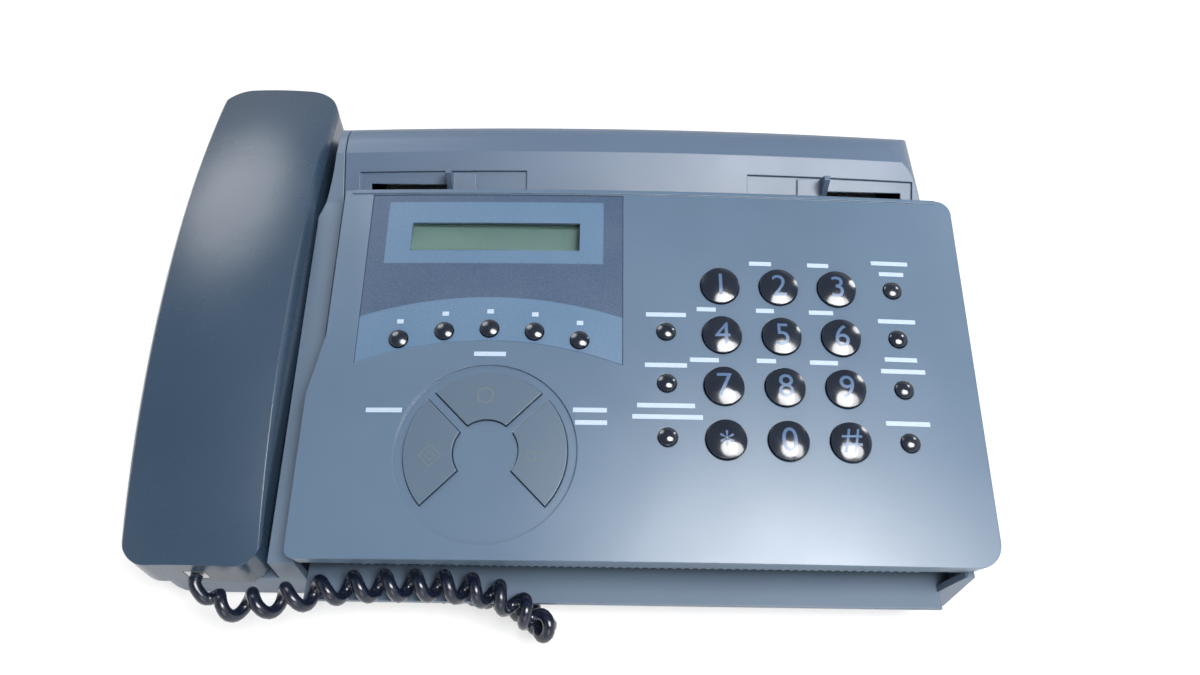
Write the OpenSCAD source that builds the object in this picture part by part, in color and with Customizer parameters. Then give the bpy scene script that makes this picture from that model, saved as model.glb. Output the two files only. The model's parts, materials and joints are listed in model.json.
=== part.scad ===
// Desk fax machine with a side handset, a hinged operation panel and a hinged rear paper cover.
// Millimetres. +X right, +Y to the back, +Z up; origin under the middle of the body.

/* [Body] */
// Width of the handset bay, left wall to the left edge of the operation panel
bay_w = 62; // [58:1:74]
// Width of the operation panel
panel_w = 243; // [202:1:292]
// Depth of the body, exit lip to back wall
body_d = 215; // [205:1:258]
// Height of the rubber feet
foot_h = 3; // [2:0.5:5]
// Wall of the cabinet mouldings
wall = 2.5; // [2:0.1:3.2]
// Height of the exit lip above the table
lip_z = 20; // [19:0.5:22]
// Overhang of the exit lip in front of the skirt
lip_reach = 5; // [3:0.5:8]

/* [Operation panel] */
// Slope of the panel
slope = 11; // [9:0.5:12]
// Length of the panel up its slope
panel_len = 142.3; // [138:0.5:146]
// Height of the panel's front top edge
panel_z = 50; // [48:0.5:54]
// Depth of the skirt round the panel
skirt = 12.8; // [11:0.1:14]
// Radius of the crown across the panel and the rear cover
crown_r = 2000; // [1700:50:4000]
// Radius of the panel's right corners
panel_corner = 9; // [5:0.5:12]
// How far the panel stands out past the right cabinet wall
panel_overhang = 6.5; // [5:0.5:8]

/* [Keys] */
// Pitch of the dial keys across
dial_pitch_x = 22; // [18:0.5:24]
// Pitch of the dial keys up the slope
dial_pitch_t = 19.8; // [17:0.1:20.5]
// Diameter of a dial key
dial_d = 14.2; // [12:0.1:15]
// Diameter of a small round key
small_d = 6.6; // [5.5:0.1:8]
// Travel of a key
key_travel = 1.2; // [0.8:0.1:1.4]
// Gap between a key and the edge of its hole
key_gap = 0.3; // [0.2:0.05:0.5]
// Outer radius of the ring of sector keys
ring_r = 28.9; // [26:0.1:30]
// Radius of the recess round the sector keys
ring_recess_r = 32.1; // [31:0.1:34]
// Inner radius of the ring of sector keys
ring_hub_r = 11.3; // [9:0.1:13]
// Width of the ribs between the sector keys
ring_rib = 3; // [2:0.1:4]

/* [Display] */
// Width of the display window
window_w = 64.7; // [54:0.1:72]
// Height of the display window up the slope
window_h = 11.9; // [10:0.1:14]

/* [Handset] */
// Length of the handset
handset_len = 203; // [196:1:206]
// Width of the handset at its back end
handset_w = 51; // [48:0.5:52]
// Height of the handset's side above its seam
handset_side = 15; // [13:0.5:16]
// Travel of the hook switch plunger
hook_travel = 4; // [3:0.5:5]

/* [Paper path] */
// Radius of the document feed roller
feed_r = 6; // [5:0.1:6.5]
// Radius of the document exit roller
exit_r = 5.5; // [4.5:0.1:6]
// Radius of the platen roller
platen_r = 7; // [6:0.1:7.5]
// Width of the rollers
roller_w = 210; // [180:1:214]
// Radius of the paper roll
roll_r = 21; // [12:0.5:21]
// Radius of the roller shafts
shaft_r = 2.5; // [2:0.1:3]
// Radial running clearance of shafts and hinge pins
running = 0.06; // [0.02:0.01:0.1]
// Distance between the document guides at rest
guide_span = 150; // [148:1:160]
// How far each document guide slides outwards
guide_slide = 30; // [10:1:32]

/* [Gears] */
// Module of the gear train
gear_module = 1; // [1:0.1:1]
// Face width of the gears
gear_w = 4; // [3:0.5:5]

/* [Handset cord] */
// Outer diameter of the curled cord
curl_d = 12; // [10:0.5:12]
// Diameter of the cord's wire
wire_d = 3.8; // [3:0.1:4.5]

/* [Hidden] */
$fn = 64;

// Body limits
x_right = (bay_w + panel_w) / 2;
x_left = -x_right;
y_front = -body_d / 2;
y_back = body_d / 2;
panel_x0 = x_right - panel_w;
crest_x = (panel_x0 + x_right) / 2;
panel_y0 = y_front + lip_reach;
cab_x1 = x_right - panel_overhang;
bay_front_y = panel_y0 + 2.5;
recess_y = panel_y0 + 12.5;
floor_z = foot_h + wall;
eps = 0.01;
seat = 0.3;

// Points on the sloped panel: t runs up the slope, n stands off its plane
function on_y(t, n) = panel_y0 + t * cos(slope) - n * sin(slope);
function on_z(t, n) = panel_z + t * sin(slope) + n * cos(slope);
function plane_z(y, n) = panel_z + n / cos(slope) + (y - panel_y0) * tan(slope);
function crown(x) = -pow(x - crest_x, 2) / (2 * crown_r);

// Panel left edge steps in at the back, beside the handset's earpiece
panel_step = 4.5;
step_t0 = 58;
step_t1 = 81;
panel_x_back = panel_x0 + panel_step;

// Top of the cabinet's rim, and the step beside the handset's jack
rim_z = floor_z + 11;
step_x = panel_x0 + 2.5;
cradle_x0 = x_left;
cradle_x1 = panel_x0 + 1;

// Left and right frame plates that carry the rollers
frame_t = 3;
frame_x0 = panel_x_back + wall + seat;
frame_x1 = cab_x1 - 4 * wall;
path_x = (frame_x0 + frame_t + frame_x1) / 2;

// Paper path levels under the panel
guide_n = -skirt - 4.2;
chute_n = guide_n - 2;
chute_t = 1.5;
feed_t = 98;
sensor_t = 76;
exit_t = 54;
feed_pos = [on_y(feed_t, chute_n + 0.5 - feed_r), on_z(feed_t, chute_n + 0.5 - feed_r)];
exit_pos = [on_y(exit_t, chute_n + 0.5 - exit_r), on_z(exit_t, chute_n + 0.5 - exit_r)];

// Gear train: the platen gear meshes with the feed gear, the exit gear and the motor pinion
feed_teeth = 18;
exit_teeth = 15;
platen_teeth = 32;
pinion_teeth = 12;
feed_c = gear_module * (feed_teeth + platen_teeth) / 2;
exit_c = gear_module * (exit_teeth + platen_teeth) / 2;
pinion_c = gear_module * (pinion_teeth + platen_teeth) / 2;
span = norm(feed_pos - exit_pos);
span_dir = (feed_pos - exit_pos) / span;
along = (span * span + exit_c * exit_c - feed_c * feed_c) / (2 * span);
drop = sqrt(exit_c * exit_c - along * along);
platen_pos = exit_pos + along * span_dir + drop * [span_dir[1], -span_dir[0]];
pinion_a = -25;
pinion_pos = platen_pos + pinion_c * [cos(pinion_a), sin(pinion_a)];
gear_x = frame_x0 - gear_w - 1;

// Panel hinge at the back edge, cover hinge at the foot of the back wall
panel_hinge = [35, 64];
cover_hinge = [y_back - 11.5, floor_z + 19.5];
hinge_pin_r = 2.5;

// Board and keys under the panel
stem_n = -8.2;
board_n = stem_n - key_travel - 0.5;
board_t = 1.6;

// Panel layout, from the panel's own edges
dial_x = x_right - 71;
dial_t = 42.4;
left_keys_x = dial_x - 42.5;
right_keys_x = dial_x + 43.5;
ring_x = panel_x0 + 65.9;
ring_t = 37.1;
plate_x0 = panel_x0 + 15.9;
plate_w = 97.8;
plate_top_t = panel_len - 2;
plate_arc_t = 78.6;
plate_arc_r = 136;
plate_depth = 1.5;
window_x = panel_x0 + 64.7;
window_t = 121.9;
quick_pitch = 16.6;
quick_arc_r = 132;

// Rear cover: a front slope, a rounded crest and a steep back
cover_x0 = panel_x0 + 1.5;
cover_x1 = cab_x1 - 1;
cover_y0 = 40.2;
cover_z0 = 67.6;
cover_slope = 31;
crease_y = 57.5;
crease_z = cover_z0 + (crease_y - cover_y0) * tan(cover_slope);
crest_c = [64.5, 66.5];
crest_r = 12.5;
back_fall = 33;
cover_y1 = y_back - wall - 0.5;
cover_low = floor_z + 15;
roll_pos = [65, floor_z + 5 + roll_r];

// Handset in its bay
handset_x = x_left + 27.5;
handset_y0 = bay_front_y - 2;
handset_y1 = handset_y0 + handset_len;

module along_x(x0, x1) translate([x0, 0, 0]) rotate([90, 0, 90]) linear_extrude(x1 - x0) children();
module along_t(t0, t1) translate([0, t1, 0]) rotate([90, 0, 0]) linear_extrude(t1 - t0) children();
module on_panel() translate([0, panel_y0, panel_z]) rotate([slope, 0, 0]) children();
module x_shaft(x0, x1, p, r) translate([x0, p[0], p[1]]) rotate([0, 90, 0]) cylinder(r = r, h = x1 - x0);
module box(x0, x1, y0, y1, z0, z1) translate([x0, y0, z0]) cube([x1 - x0, y1 - y0, z1 - z0]);

// A square corner with its point at the origin, hollowed to radius r
module corner(r) difference() {
    translate([-1, -1]) square(r + 1);
    translate([r, r]) circle(r);
}

// Region under the crown: top and bottom are heights above the crown surface
module crown_face(x0, x1, top, bottom) intersection() {
    difference() {
        translate([crest_x, -crown_r]) circle(crown_r + top, $fn = 256);
        translate([crest_x, -crown_r]) circle(crown_r + bottom, $fn = 256);
    }
    translate([x0, -60]) square([x1 - x0, 100]);
}

// ---------------------------------------------------------------- operation panel
module panel_plan(i) difference() {
    polygon([
        [x_right - i, i], [x_right - i, panel_len - i], [panel_x_back + i, panel_len - i],
        [panel_x_back + i, step_t1], [panel_x0 + i, step_t0], [panel_x0 + i, i]
    ]);
    translate([x_right - i, i]) mirror([1, 0]) corner(panel_corner - i);
    translate([x_right - i, panel_len - i]) rotate(180) corner(panel_corner / 2 + 1 - i);
    translate([panel_x0 + i, i]) corner(3.5 - i);
}

module panel_skin(i, top, bottom) intersection() {
    translate([0, 0, bottom]) linear_extrude(20 - bottom) panel_plan(i);
    along_t(-1, panel_len + 1) crown_face(panel_x0 - 2, x_right + 2, top, bottom - 60);
}

module plate_outline(i) difference() {
    translate([plate_x0 + i, 60]) square([plate_w - 2 * i, plate_top_t - 60 - i]);
    translate([plate_x0 + plate_w / 2, plate_arc_t - plate_arc_r]) circle(plate_arc_r + i, $fn = 200);
}

module window_outline(i)
    translate([window_x - window_w / 2 - i, window_t - window_h / 2 - i])
        square([window_w + 2 * i, window_h + 2 * i]);

function quick_x(i) = window_x + (i - 2) * quick_pitch;
function quick_t(i) = 83.4 - quick_arc_r + sqrt(pow(quick_arc_r, 2) - pow(quick_x(i) - window_x, 2));

// Positions of the round keys: x, t, diameter
dial_keys = [for (row = [3:-1:0]) for (col = [0:2])
    [dial_x + (col - 1) * dial_pitch_x, dial_t + row * dial_pitch_t, dial_d]];
quick_keys = [for (i = [0:4]) [quick_x(i), quick_t(i), small_d]];
left_keys = [for (row = [2:-1:0]) [left_keys_x, dial_t + 0.6 + row * (dial_pitch_t + 0.2), small_d]];
right_keys = [for (row = [3:-1:0]) [right_keys_x, dial_t + 0.4 + row * dial_pitch_t, small_d]];
round_keys = concat(dial_keys, quick_keys, left_keys, right_keys);

// Sector of the key ring, facing direction a, drawn smaller by i on every side
module sector(a, i) {
    c = (ring_rib / 2 + i) * sqrt(2);
    intersection() {
        difference() {
            circle(ring_r - i);
            circle(ring_hub_r + i);
        }
        rotate(a) polygon([[c, 0], [60, 60 - c], [60, c - 60]]);
    }
}

module operation_panel() color("slategray") on_panel() difference() {
    union() {
        difference() {
            panel_skin(0, 0, -skirt);
            panel_skin(wall, -wall, -skirt - 1);
        }
        panel_bosses();
        panel_hinge_pins();
        panel_back_bead();
    }
    for (k = round_keys) translate([k[0], k[1], -10]) cylinder(d = k[2] + 2 * key_gap, h = 20);
    for (a = [0, 90, 180]) translate([ring_x, ring_t, -10]) linear_extrude(20) sector(a, 0);
    intersection() {
        translate([ring_x, ring_t, -10]) cylinder(r = ring_recess_r, h = 20);
        along_t(0, panel_len) crown_face(panel_x0, x_right, 5, -0.9);
    }
    intersection() {
        translate([0, 0, -10]) linear_extrude(20) plate_outline(0);
        along_t(0, panel_len) crown_face(panel_x0, x_right, 5, -plate_depth);
    }
    translate([0, 0, -10]) linear_extrude(20) window_outline(1.5);
    // Opening for the document under the back edge
    along_t(panel_len - wall - 1, panel_len + 1) crown_face(frame_x0 - seat, cab_x1 + seat, -wall - 0.5, -40);
}

// Screw bosses for the panel board and the upper guide
boss_x = [panel_x0 + 20, crest_x + 1, x_right - 23.5];
boss_t = [20, 112];
module panel_bosses() for (x = boss_x) for (t = boss_t) difference() {
    translate([x, t, board_n]) cylinder(r = 3, h = crown(x) - 0.5 * wall - board_n);
    translate([x, t, board_n - 1]) cylinder(r = 1.1, h = 6);
}

// Bright raised bead along the back edge
module panel_back_bead() intersection() {
    along_t(panel_len - 1.6, panel_len) crown_face(panel_x_back + 3, x_right - 6, 0.5, -1.5);
    translate([0, 0, -20]) linear_extrude(40) panel_plan(0);
}

// Hinge studs, drawn in the panel's own slope
module panel_hinge_pins() rotate([-slope, 0, 0]) translate([0, -panel_y0, -panel_z]) {
    x_shaft(panel_x_back + wall - eps, panel_x_back + wall + seat + frame_t, panel_hinge, hinge_pin_r);
    x_shaft(cab_x1 - wall, x_right - wall + eps, panel_hinge, hinge_pin_r);
    x_shaft(cab_x1 + seat, x_right - wall + eps, panel_hinge, hinge_pin_r + 2);
}

module display_plate() color("steelblue") on_panel() difference() {
    intersection() {
        translate([0, 0, -10]) linear_extrude(20) plate_outline(0.15);
        along_t(0, panel_len) crown_face(panel_x0, x_right, -0.3, 0.05 - plate_depth);
    }
    for (k = quick_keys) translate([k[0], k[1], -10]) cylinder(d = k[2] + 2 * key_gap, h = 20);
    translate([0, 0, -10]) linear_extrude(20) window_outline(0);
}

module display_lens() color("darkolivegreen", 0.5) on_panel() intersection() {
    translate([0, 0, -10]) linear_extrude(20) window_outline(1.3);
    along_t(0, panel_len) crown_face(panel_x0, x_right, -plate_depth, -plate_depth - 1);
}

display_n = -plate_depth - 3.3;
module display_module() color("olivedrab") on_panel() {
    difference() {
        translate([window_x - window_w / 2 - 5, window_t - 10, board_n])
            cube([window_w + 10, 20, display_n - board_n]);
        translate([0, 0, display_n - 1]) linear_extrude(5) window_outline(0.5);
    }
    for (x = [-1, 1]) translate([window_x + x * (window_w / 2 + 3), window_t + 6, display_n])
        cylinder(r = 1.5, h = crown(window_x + x * (window_w / 2 + 3)) - wall - 0.1 - display_n);
}

module panel_board() color("darkgreen") on_panel() difference() {
    translate([boss_x[0] - 5, boss_t[0] - 8, board_n - board_t])
        cube([boss_x[2] - boss_x[0] + 10, boss_t[1] - boss_t[0] + 13, board_t]);
    for (x = boss_x) for (t = boss_t) translate([x, t, -30]) cylinder(r = 1.6, h = 40);
}

// Cover under the board: the upper side of the document path
module upper_guide() color("dimgray") on_panel() {
    difference() {
        translate([path_x - roller_w / 2, 6, guide_n]) cube([roller_w, 118, 1.6]);
        translate([path_x - 12, feed_t - 14, guide_n - 1]) cube([24, 20, 4]);
    }
    for (x = boss_x) for (t = boss_t)
        translate([x, t, guide_n + 1.6 - eps]) cylinder(r = 3, h = board_n - board_t - guide_n - 1.6);
}

module separator_pad() color("tan") on_panel() {
    translate([path_x - 9, feed_t - 11, chute_n + 0.7]) cube([18, 14, 1.4]);
    translate([path_x - 11, feed_t - 13, chute_n + 2.1]) cube([22, 18, guide_n + 2.6 - chute_n - 2.1]);
    translate([path_x - 14, feed_t - 13, guide_n + 1.6]) cube([28, 18, 1]);
}

// ---------------------------------------------------------------- keys
// Depth under the skin of the flange that holds a key in its hole
flange_n = wall + 0.45;
module round_key(k, rise, dome) {
    c = crown(k[0]);
    r = k[2] / 2;
    ball = (r * r + dome * dome) / (2 * dome);
    translate([k[0], k[1], 0]) {
        intersection() {
            translate([0, 0, c - flange_n]) cylinder(r = r, h = flange_n + rise + dome);
            translate([0, 0, c + rise + dome - ball]) sphere(ball, $fn = 96);
        }
        translate([0, 0, c - flange_n - 1]) cylinder(r = r + 1.2, h = 1 + eps);
        translate([0, 0, stem_n]) cylinder(r = r * 0.5, h = c - flange_n - stem_n);
    }
}
module dial_key(i) color("black") on_panel() round_key(dial_keys[i], 1.5, 1.1);
module quick_key(i) color("black") on_panel() round_key(quick_keys[i], 0.7, 0.8);
module side_key(k) color("black") on_panel() round_key(k, 0.8, 0.9);

module sector_key(a) color("darkslategray") on_panel() {
    stem_at = ring_r * 0.68;
    sector_layer(a, key_gap, 0.3, -flange_n - eps);
    sector_layer(a, 0.2 - ring_rib / 2, -flange_n, -flange_n - 1);
    for (s = [-24, 24]) translate([ring_x + stem_at * cos(a + s), ring_t + stem_at * sin(a + s), stem_n])
        cylinder(r = 2, h = crown(ring_x + stem_at * cos(a + s)) - flange_n - 0.5 - stem_n);
}
module sector_layer(a, i, top, bottom) intersection() {
    translate([ring_x, ring_t, -15]) linear_extrude(30) sector(a, i);
    along_t(0, panel_len) crown_face(panel_x0, x_right, top, bottom);
}

// ---------------------------------------------------------------- cabinet
module cabinet_plan(i) difference() {
    polygon([
        [x_left + i, bay_front_y + i], [step_x - i, bay_front_y + i],
        [step_x - i, recess_y + i], [cab_x1 - i, recess_y + i],
        [cab_x1 - i, y_back - i], [x_left + i, y_back - i]
    ]);
    translate([x_left + i, bay_front_y + i]) corner(18 - i);
    translate([cab_x1 - i, recess_y + i]) mirror([1, 0]) corner(6 - i);
    translate([x_left + i, y_back - i]) mirror([0, 1]) corner(14 - i);
    translate([cab_x1 - i, y_back - i]) rotate(180) corner(10 - i);
}
// Handset jack in the step, line jack and mains inlet in the back wall: y or x, z, width, height
jack = [recess_y - 8.4, floor_z + 2, 7.6, 7.2];
line_jack = [x_left + 20, floor_z + 2, 12.2, 8.2];
inlet = [x_left + 42, floor_z + 2, 16.2, 8.2];

module lower_cabinet() color("slategray") difference() {
    union() {
        difference() {
            translate([0, 0, foot_h]) linear_extrude(rim_z - foot_h) cabinet_plan(0);
            translate([0, 0, floor_z]) linear_extrude(100) cabinet_plan(wall);
        }
        right_wall();
        exit_lip();
        for (x = [frame_x0, frame_x1]) along_x(x, x + frame_t) frame_plate();
        box(cover_x0, cab_x1 - 10, y_back - wall, y_back, rim_z - 1, cover_low - 0.7);
        floor_bosses();
    }
    roller_bores();
    box(step_x - wall - 1, step_x + 1, jack[0], jack[0] + jack[2], jack[1], jack[1] + jack[3]);
    for (j = [line_jack, inlet])
        box(j[0], j[0] + j[2], y_back - wall - 1, y_back + 1, j[1], j[1] + j[3]);
    floor_slots();
}

// Frame plate inside the cabinet, with ears for the panel hinge and the cover hinge
module frame_plate() {
    polygon([
        [recess_y + 1, floor_z - 1], [cover_hinge[0] - 2.2, floor_z - 1],
        [cover_hinge[0] - 2.2, cover_hinge[1] - 2.7], [cover_hinge[0] - 3.4, cover_hinge[1]],
        [cover_hinge[0] - 13, floor_z + 3], [40, floor_z + 3],
        [39, panel_hinge[1]], [31, panel_hinge[1]], [chute_y1, plane_z(chute_y1, chute_n - chute_t)],
        [recess_y + 1, plane_z(recess_y + 1, chute_n - chute_t)]
    ]);
    translate(cover_hinge) circle(3.5);
    translate(panel_hinge) circle(4);
}

// Right wall rises to just under the panel
module right_wall() along_x(cab_x1 - wall, cab_x1) {
    polygon([
        [recess_y + 6, foot_h + 1], [cover_y0 - 1, foot_h + 1], [cover_y0 - 1, panel_hinge[1]],
        [panel_hinge[0] - 4, panel_hinge[1]], [panel_hinge[0] - 5, plane_z(panel_hinge[0] - 5, -wall - 6)],
        [panel_y0 + 5.5, plane_z(panel_y0 + 5.5, -wall - 6)], [panel_y0 + 5.5, panel_z - skirt - 0.7],
        [panel_y0 + 1, panel_z - skirt - 0.7], [panel_y0 + 1, lip_z - 2]
    ]);
    translate(panel_hinge) circle(4);
}

// Exit lip: a ledge that reaches out past the skirt, and the right cheek beside the slot
module exit_lip() {
    lip_x0 = cradle_x1 + seat;
    box(lip_x0, cab_x1 - 7, y_front, recess_y + wall, lip_z - 2, lip_z);
    box(lip_x0, step_x, bay_front_y, recess_y + wall, rim_z - 1, lip_z - 1);
    box(lip_x0, cab_x1 - 6, recess_y, recess_y + wall, rim_z - 1, lip_z - 1);
    box(cab_x1 - 8, cab_x1, panel_y0 + 1, recess_y + wall, foot_h, lip_z);
    translate([0, panel_y0 + 1 + wall, 0]) rotate([90, 0, 0]) linear_extrude(wall) polygon([
        [cab_x1, foot_h], [cab_x1, panel_z - skirt - 1], [cab_x1 - 3, panel_z - skirt - 1], [cab_x1 - 8, lip_z - 1],
        [cab_x1 - 8, foot_h]
    ]);
}

// Bosses under the boards and the ribs that the paper roll lies in
module floor_bosses() {
    for (x = main_holes_x) for (y = main_holes_y) translate([x, y, foot_h + 1])
        cylinder(r = 3.2, h = board_z - foot_h - 1);
    for (x = supply_x + [5, -5]) for (y = supply_y + [5, -5]) translate([x, y, foot_h + 1])
        cylinder(r = 3.2, h = board_z - foot_h - 1);
    for (x = [-80, 0, 80]) along_x(path_x + x - wall / 2, path_x + x + wall / 2) difference() {
        translate([roll_pos[0] - 15, floor_z - 1]) square([30, 9]);
        translate(roll_pos) circle(roll_r + seat);
    }
}

module roller_bores() {
    for (p = [feed_pos, exit_pos, platen_pos])
        x_shaft(frame_x0 - 2, frame_x1 + frame_t + 2, p, shaft_r + running);
    x_shaft(frame_x0 - 2, frame_x0 + frame_t + 1, panel_hinge, hinge_pin_r + running);
    x_shaft(cab_x1 - wall - 1, cab_x1 + 1, panel_hinge, hinge_pin_r + running);
    x_shaft(frame_x0 - 2, frame_x1 + frame_t + 2, cover_hinge, hinge_pin_r + running);
}

// Vents under the rollers and sound slots under the speaker
module floor_slots() {
    for (i = [0:7]) translate([path_x - 40 + i * 10, -2, foot_h - 1]) cube([4, 44, wall + 2]);
    for (i = [-2:2]) translate([speaker_pos[0] + i * 5 - 1, speaker_pos[1] - 9, foot_h - 1])
        cube([2, 18, wall + 2]);
}

foot_inset = 18;
foot_r = 8;
module feet() color("black")
    for (x = [x_left + foot_inset + 4, cab_x1 - foot_inset]) for (y = [recess_y + foot_inset, y_back - foot_inset])
        translate([x, y, 0]) cylinder(r = foot_r, h = foot_h);

// ---------------------------------------------------------------- paper path
chute_y0 = panel_y0 + 7;
chute_y1 = 21;
module document_chute() color("dimgray") difference() {
    union() {
        along_x(frame_x0, frame_x1 + frame_t) polygon([
            [chute_y0, plane_z(chute_y0, chute_n)], [chute_y1, plane_z(chute_y1, chute_n)],
            [chute_y1, plane_z(chute_y1, chute_n - chute_t)], [chute_y0, plane_z(chute_y0, chute_n - chute_t)]
        ]);
        along_x(frame_x0 + frame_t + 1, frame_x1 - 1) polygon([
            [chute_y1 - 2, plane_z(chute_y1 - 2, chute_n)], [chute_y1 + 1.5, plane_z(chute_y1 + 1.5, chute_n)],
            [cover_y0 - 0.8, cover_z0 - 1], [cover_y0 - 0.8, cover_z0 - 1 - chute_t],
            [chute_y1 - 2, plane_z(chute_y1 - 2, chute_n - chute_t)]
        ]);
    }
    box(path_x - 31, path_x + 31, feed_pos[0] - feed_r - 0.7, feed_pos[0] + feed_r + 0.7, feed_pos[1] - 8, 80);
    for (x = exit_sleeves) box(x - 11, x + 11, exit_pos[0] - exit_r - 0.7, exit_pos[0] + exit_r + 0.7,
        exit_pos[1] - 8, 80);
    on_panel() translate([path_x - roller_w / 2 + 1, sensor_t - 7.3, chute_n - 9]) cube([roller_w - 2, 14.6, 20]);
}

sensor_h = 7;
module image_sensor() color("gainsboro") on_panel()
    translate([path_x - roller_w / 2 + 2, sensor_t - 7, chute_n - sensor_h]) difference() {
        cube([roller_w - 4, 14, sensor_h]);
        translate([3, 5, sensor_h - 0.6]) cube([roller_w - 10, 4, 1]);
    }

exit_sleeves = [path_x - 70, path_x, path_x + 70];

// Gear with involute flanks: z teeth, module m; its first tooth centre points along +X
function inv(t) = t * 180 / PI - atan(t);
function flank(z, m, rho) = let (r = z * m / 2, rb = r * cos(20))
    90 / z - 4.2 / z + inv(tan(20)) - inv(sqrt(max(0, pow(rho / rb, 2) - 1)));
function tooth_radii(z, m) = let (r = z * m / 2, rb = r * cos(20), root = r - 1.2 * m)
    [root, max(root + 0.1, rb), r - 0.15 * m, r + 0.35 * m, r + 0.85 * m];
module gear_outline(z, m) polygon([for (i = [0:z - 1])
    let (a = 360 * i / z, q = tooth_radii(z, m))
    for (j = [0:9])
        let (rho = j < 5 ? q[j] : q[9 - j], h = flank(z, m, rho) * (j < 5 ? -1 : 1))
        [rho * cos(a + h), rho * sin(a + h)]]);

// Gear on an X shaft at p, turned by a so that it meshes
module x_gear(z, p, a, x0, w, bore) translate([x0, p[0], p[1]]) rotate([90, 0, 90]) difference() {
    rotate(a) linear_extrude(w) gear_outline(z, gear_module);
    translate([0, 0, -1]) cylinder(r = bore, h = w + 2);
}

// Turn of a follower whose centre lies at angle f from a gear turned by a
function mesh_turn(z1, a, z2, f) = f + 180 + 180 / z2 - (a - f) * z1 / z2;
function dir(p, q) = atan2(q[1] - p[1], q[0] - p[0]);

module roller(p, r, sleeves, z, a) {
    color("black") for (s = sleeves) difference() {
        x_shaft(s[0], s[1], p, r);
        x_shaft(s[0] - 1, s[1] + 1, p, shaft_r);
    }
    color("silver") x_shaft(gear_x - 1, frame_x1 + frame_t + 1.5, p, shaft_r);
    color("ivory") x_gear(z, p, a, gear_x, gear_w, shaft_r);
}
module feed_roller() roller(feed_pos, feed_r, [[path_x - 30, path_x + 30]], feed_teeth,
    mesh_turn(platen_teeth, 0, feed_teeth, dir(platen_pos, feed_pos)));
module exit_roller() roller(exit_pos, exit_r, [for (x = exit_sleeves) [x - 10, x + 10]], exit_teeth,
    mesh_turn(platen_teeth, 0, exit_teeth, dir(platen_pos, exit_pos)));
module platen_roller() roller(platen_pos, platen_r, [[path_x - roller_w / 2, path_x + roller_w / 2]],
    platen_teeth, 0);

motor_r = 12.5;
motor_x1 = gear_x - 3.5;
motor_shaft_r = 1.5;
module motor_pinion() color("gold") {
    x_gear(pinion_teeth, pinion_pos, mesh_turn(platen_teeth, 0, pinion_teeth, pinion_a), gear_x, gear_w,
        motor_shaft_r);
    x_shaft(motor_x1 - 8, gear_x + gear_w, pinion_pos, motor_shaft_r);
}
// Motor can with its flange, on two posts that stand on the frame plate
post_r = 17.5;
module step_motor() color("silver") difference() {
    union() {
        x_shaft(motor_x1 - 13, motor_x1, pinion_pos, motor_r);
        along_x(motor_x1, motor_x1 + 1.5) translate(pinion_pos) difference() {
            translate([-8, -13]) square([post_r + 8, 26]);
            circle(4);
        }
        for (a = [-35, 35]) x_shaft(motor_x1 + 1, frame_x0, pinion_pos + post_r * [cos(a), sin(a)], 2);
    }
    x_shaft(motor_x1 - 9, motor_x1 + 3, pinion_pos, motor_shaft_r + running);
}

head_z = platen_pos[1] - platen_r - 0.1;
module thermal_head() color("silver") {
    box(path_x - roller_w / 2, path_x + roller_w / 2, platen_pos[0] - 9, platen_pos[0] + 9, head_z - 5, head_z - 1);
    color("ivory") box(path_x - roller_w / 2, path_x + roller_w / 2, platen_pos[0] - 3, platen_pos[0] + 3,
        head_z - 1, head_z);
    color("gray") for (x = [-70, 0, 70]) translate([path_x + x, platen_pos[0], floor_z])
        head_spring(head_z - 5 - floor_z);
}
// Compression spring under the head, drawn as its stack of coils
module head_spring(h) rotate_extrude() intersection() {
    for (i = [0:4]) translate([3, h * (i + 0.5) / 5]) circle(h / 10 + 0.05, $fn = 24);
    square([6, h]);
}

// Serrated cutter under the front edge of the chute
bar_pitch = 3;
bar_n = floor((roller_w - 2) / bar_pitch);
module tear_bar() color("silver") translate([path_x - bar_n * bar_pitch / 2, chute_y0 - 0.8, 0])
    rotate([90, 0, 0]) translate([0, 0, -0.8]) linear_extrude(0.8) polygon(concat(
        [[0, plane_z(chute_y0, chute_n - 0.4)]],
        [for (i = [0:bar_n]) each [[i * bar_pitch, plane_z(chute_y0, chute_n - 5)],
            [min(i + 0.5, bar_n) * bar_pitch, plane_z(chute_y0, chute_n - (i < bar_n ? 6.5 : 5))]]],
        [[bar_n * bar_pitch, plane_z(chute_y0, chute_n - 0.4)]]));

core_r = 8;
module paper_roll() {
    color("white") difference() {
        x_shaft(path_x - 105, path_x + 105, roll_pos, roll_r);
        x_shaft(path_x - 106, path_x + 106, roll_pos, core_r);
    }
    color("peru") difference() {
        x_shaft(path_x - 105, path_x + 105, roll_pos, core_r);
        x_shaft(path_x - 106, path_x + 106, roll_pos, core_r - 1.5);
    }
}

// ---------------------------------------------------------------- boards
board_z = floor_z + 3;
main_holes_x = [path_x - 90, path_x + 85];
main_holes_y = [-78, -42];
module main_board() color("darkgreen") {
    difference() {
        box(path_x - 95, path_x + 90, -82, -36, board_z, board_z + 1.6);
        for (x = main_holes_x) for (y = main_holes_y) translate([x, y, 0]) cylinder(r = 1.6, h = 50);
    }
    color("black") {
        box(path_x - 40, path_x - 12, -72, -44, board_z + 1.6, board_z + 4);
        box(path_x + 10, path_x + 40, -70, -56, board_z + 1.6, board_z + 4.2);
        box(path_x + 55, path_x + 80, -66, -50, board_z + 1.6, board_z + 4.2);
        for (i = [0:3]) translate([path_x - 80 + i * 10, -50, board_z + 1.6]) cylinder(r = 3, h = 7);
    }
    color("ivory") box(path_x - 88, path_x - 60, -76, -71, board_z + 1.6, board_z + 8);
}

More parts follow.
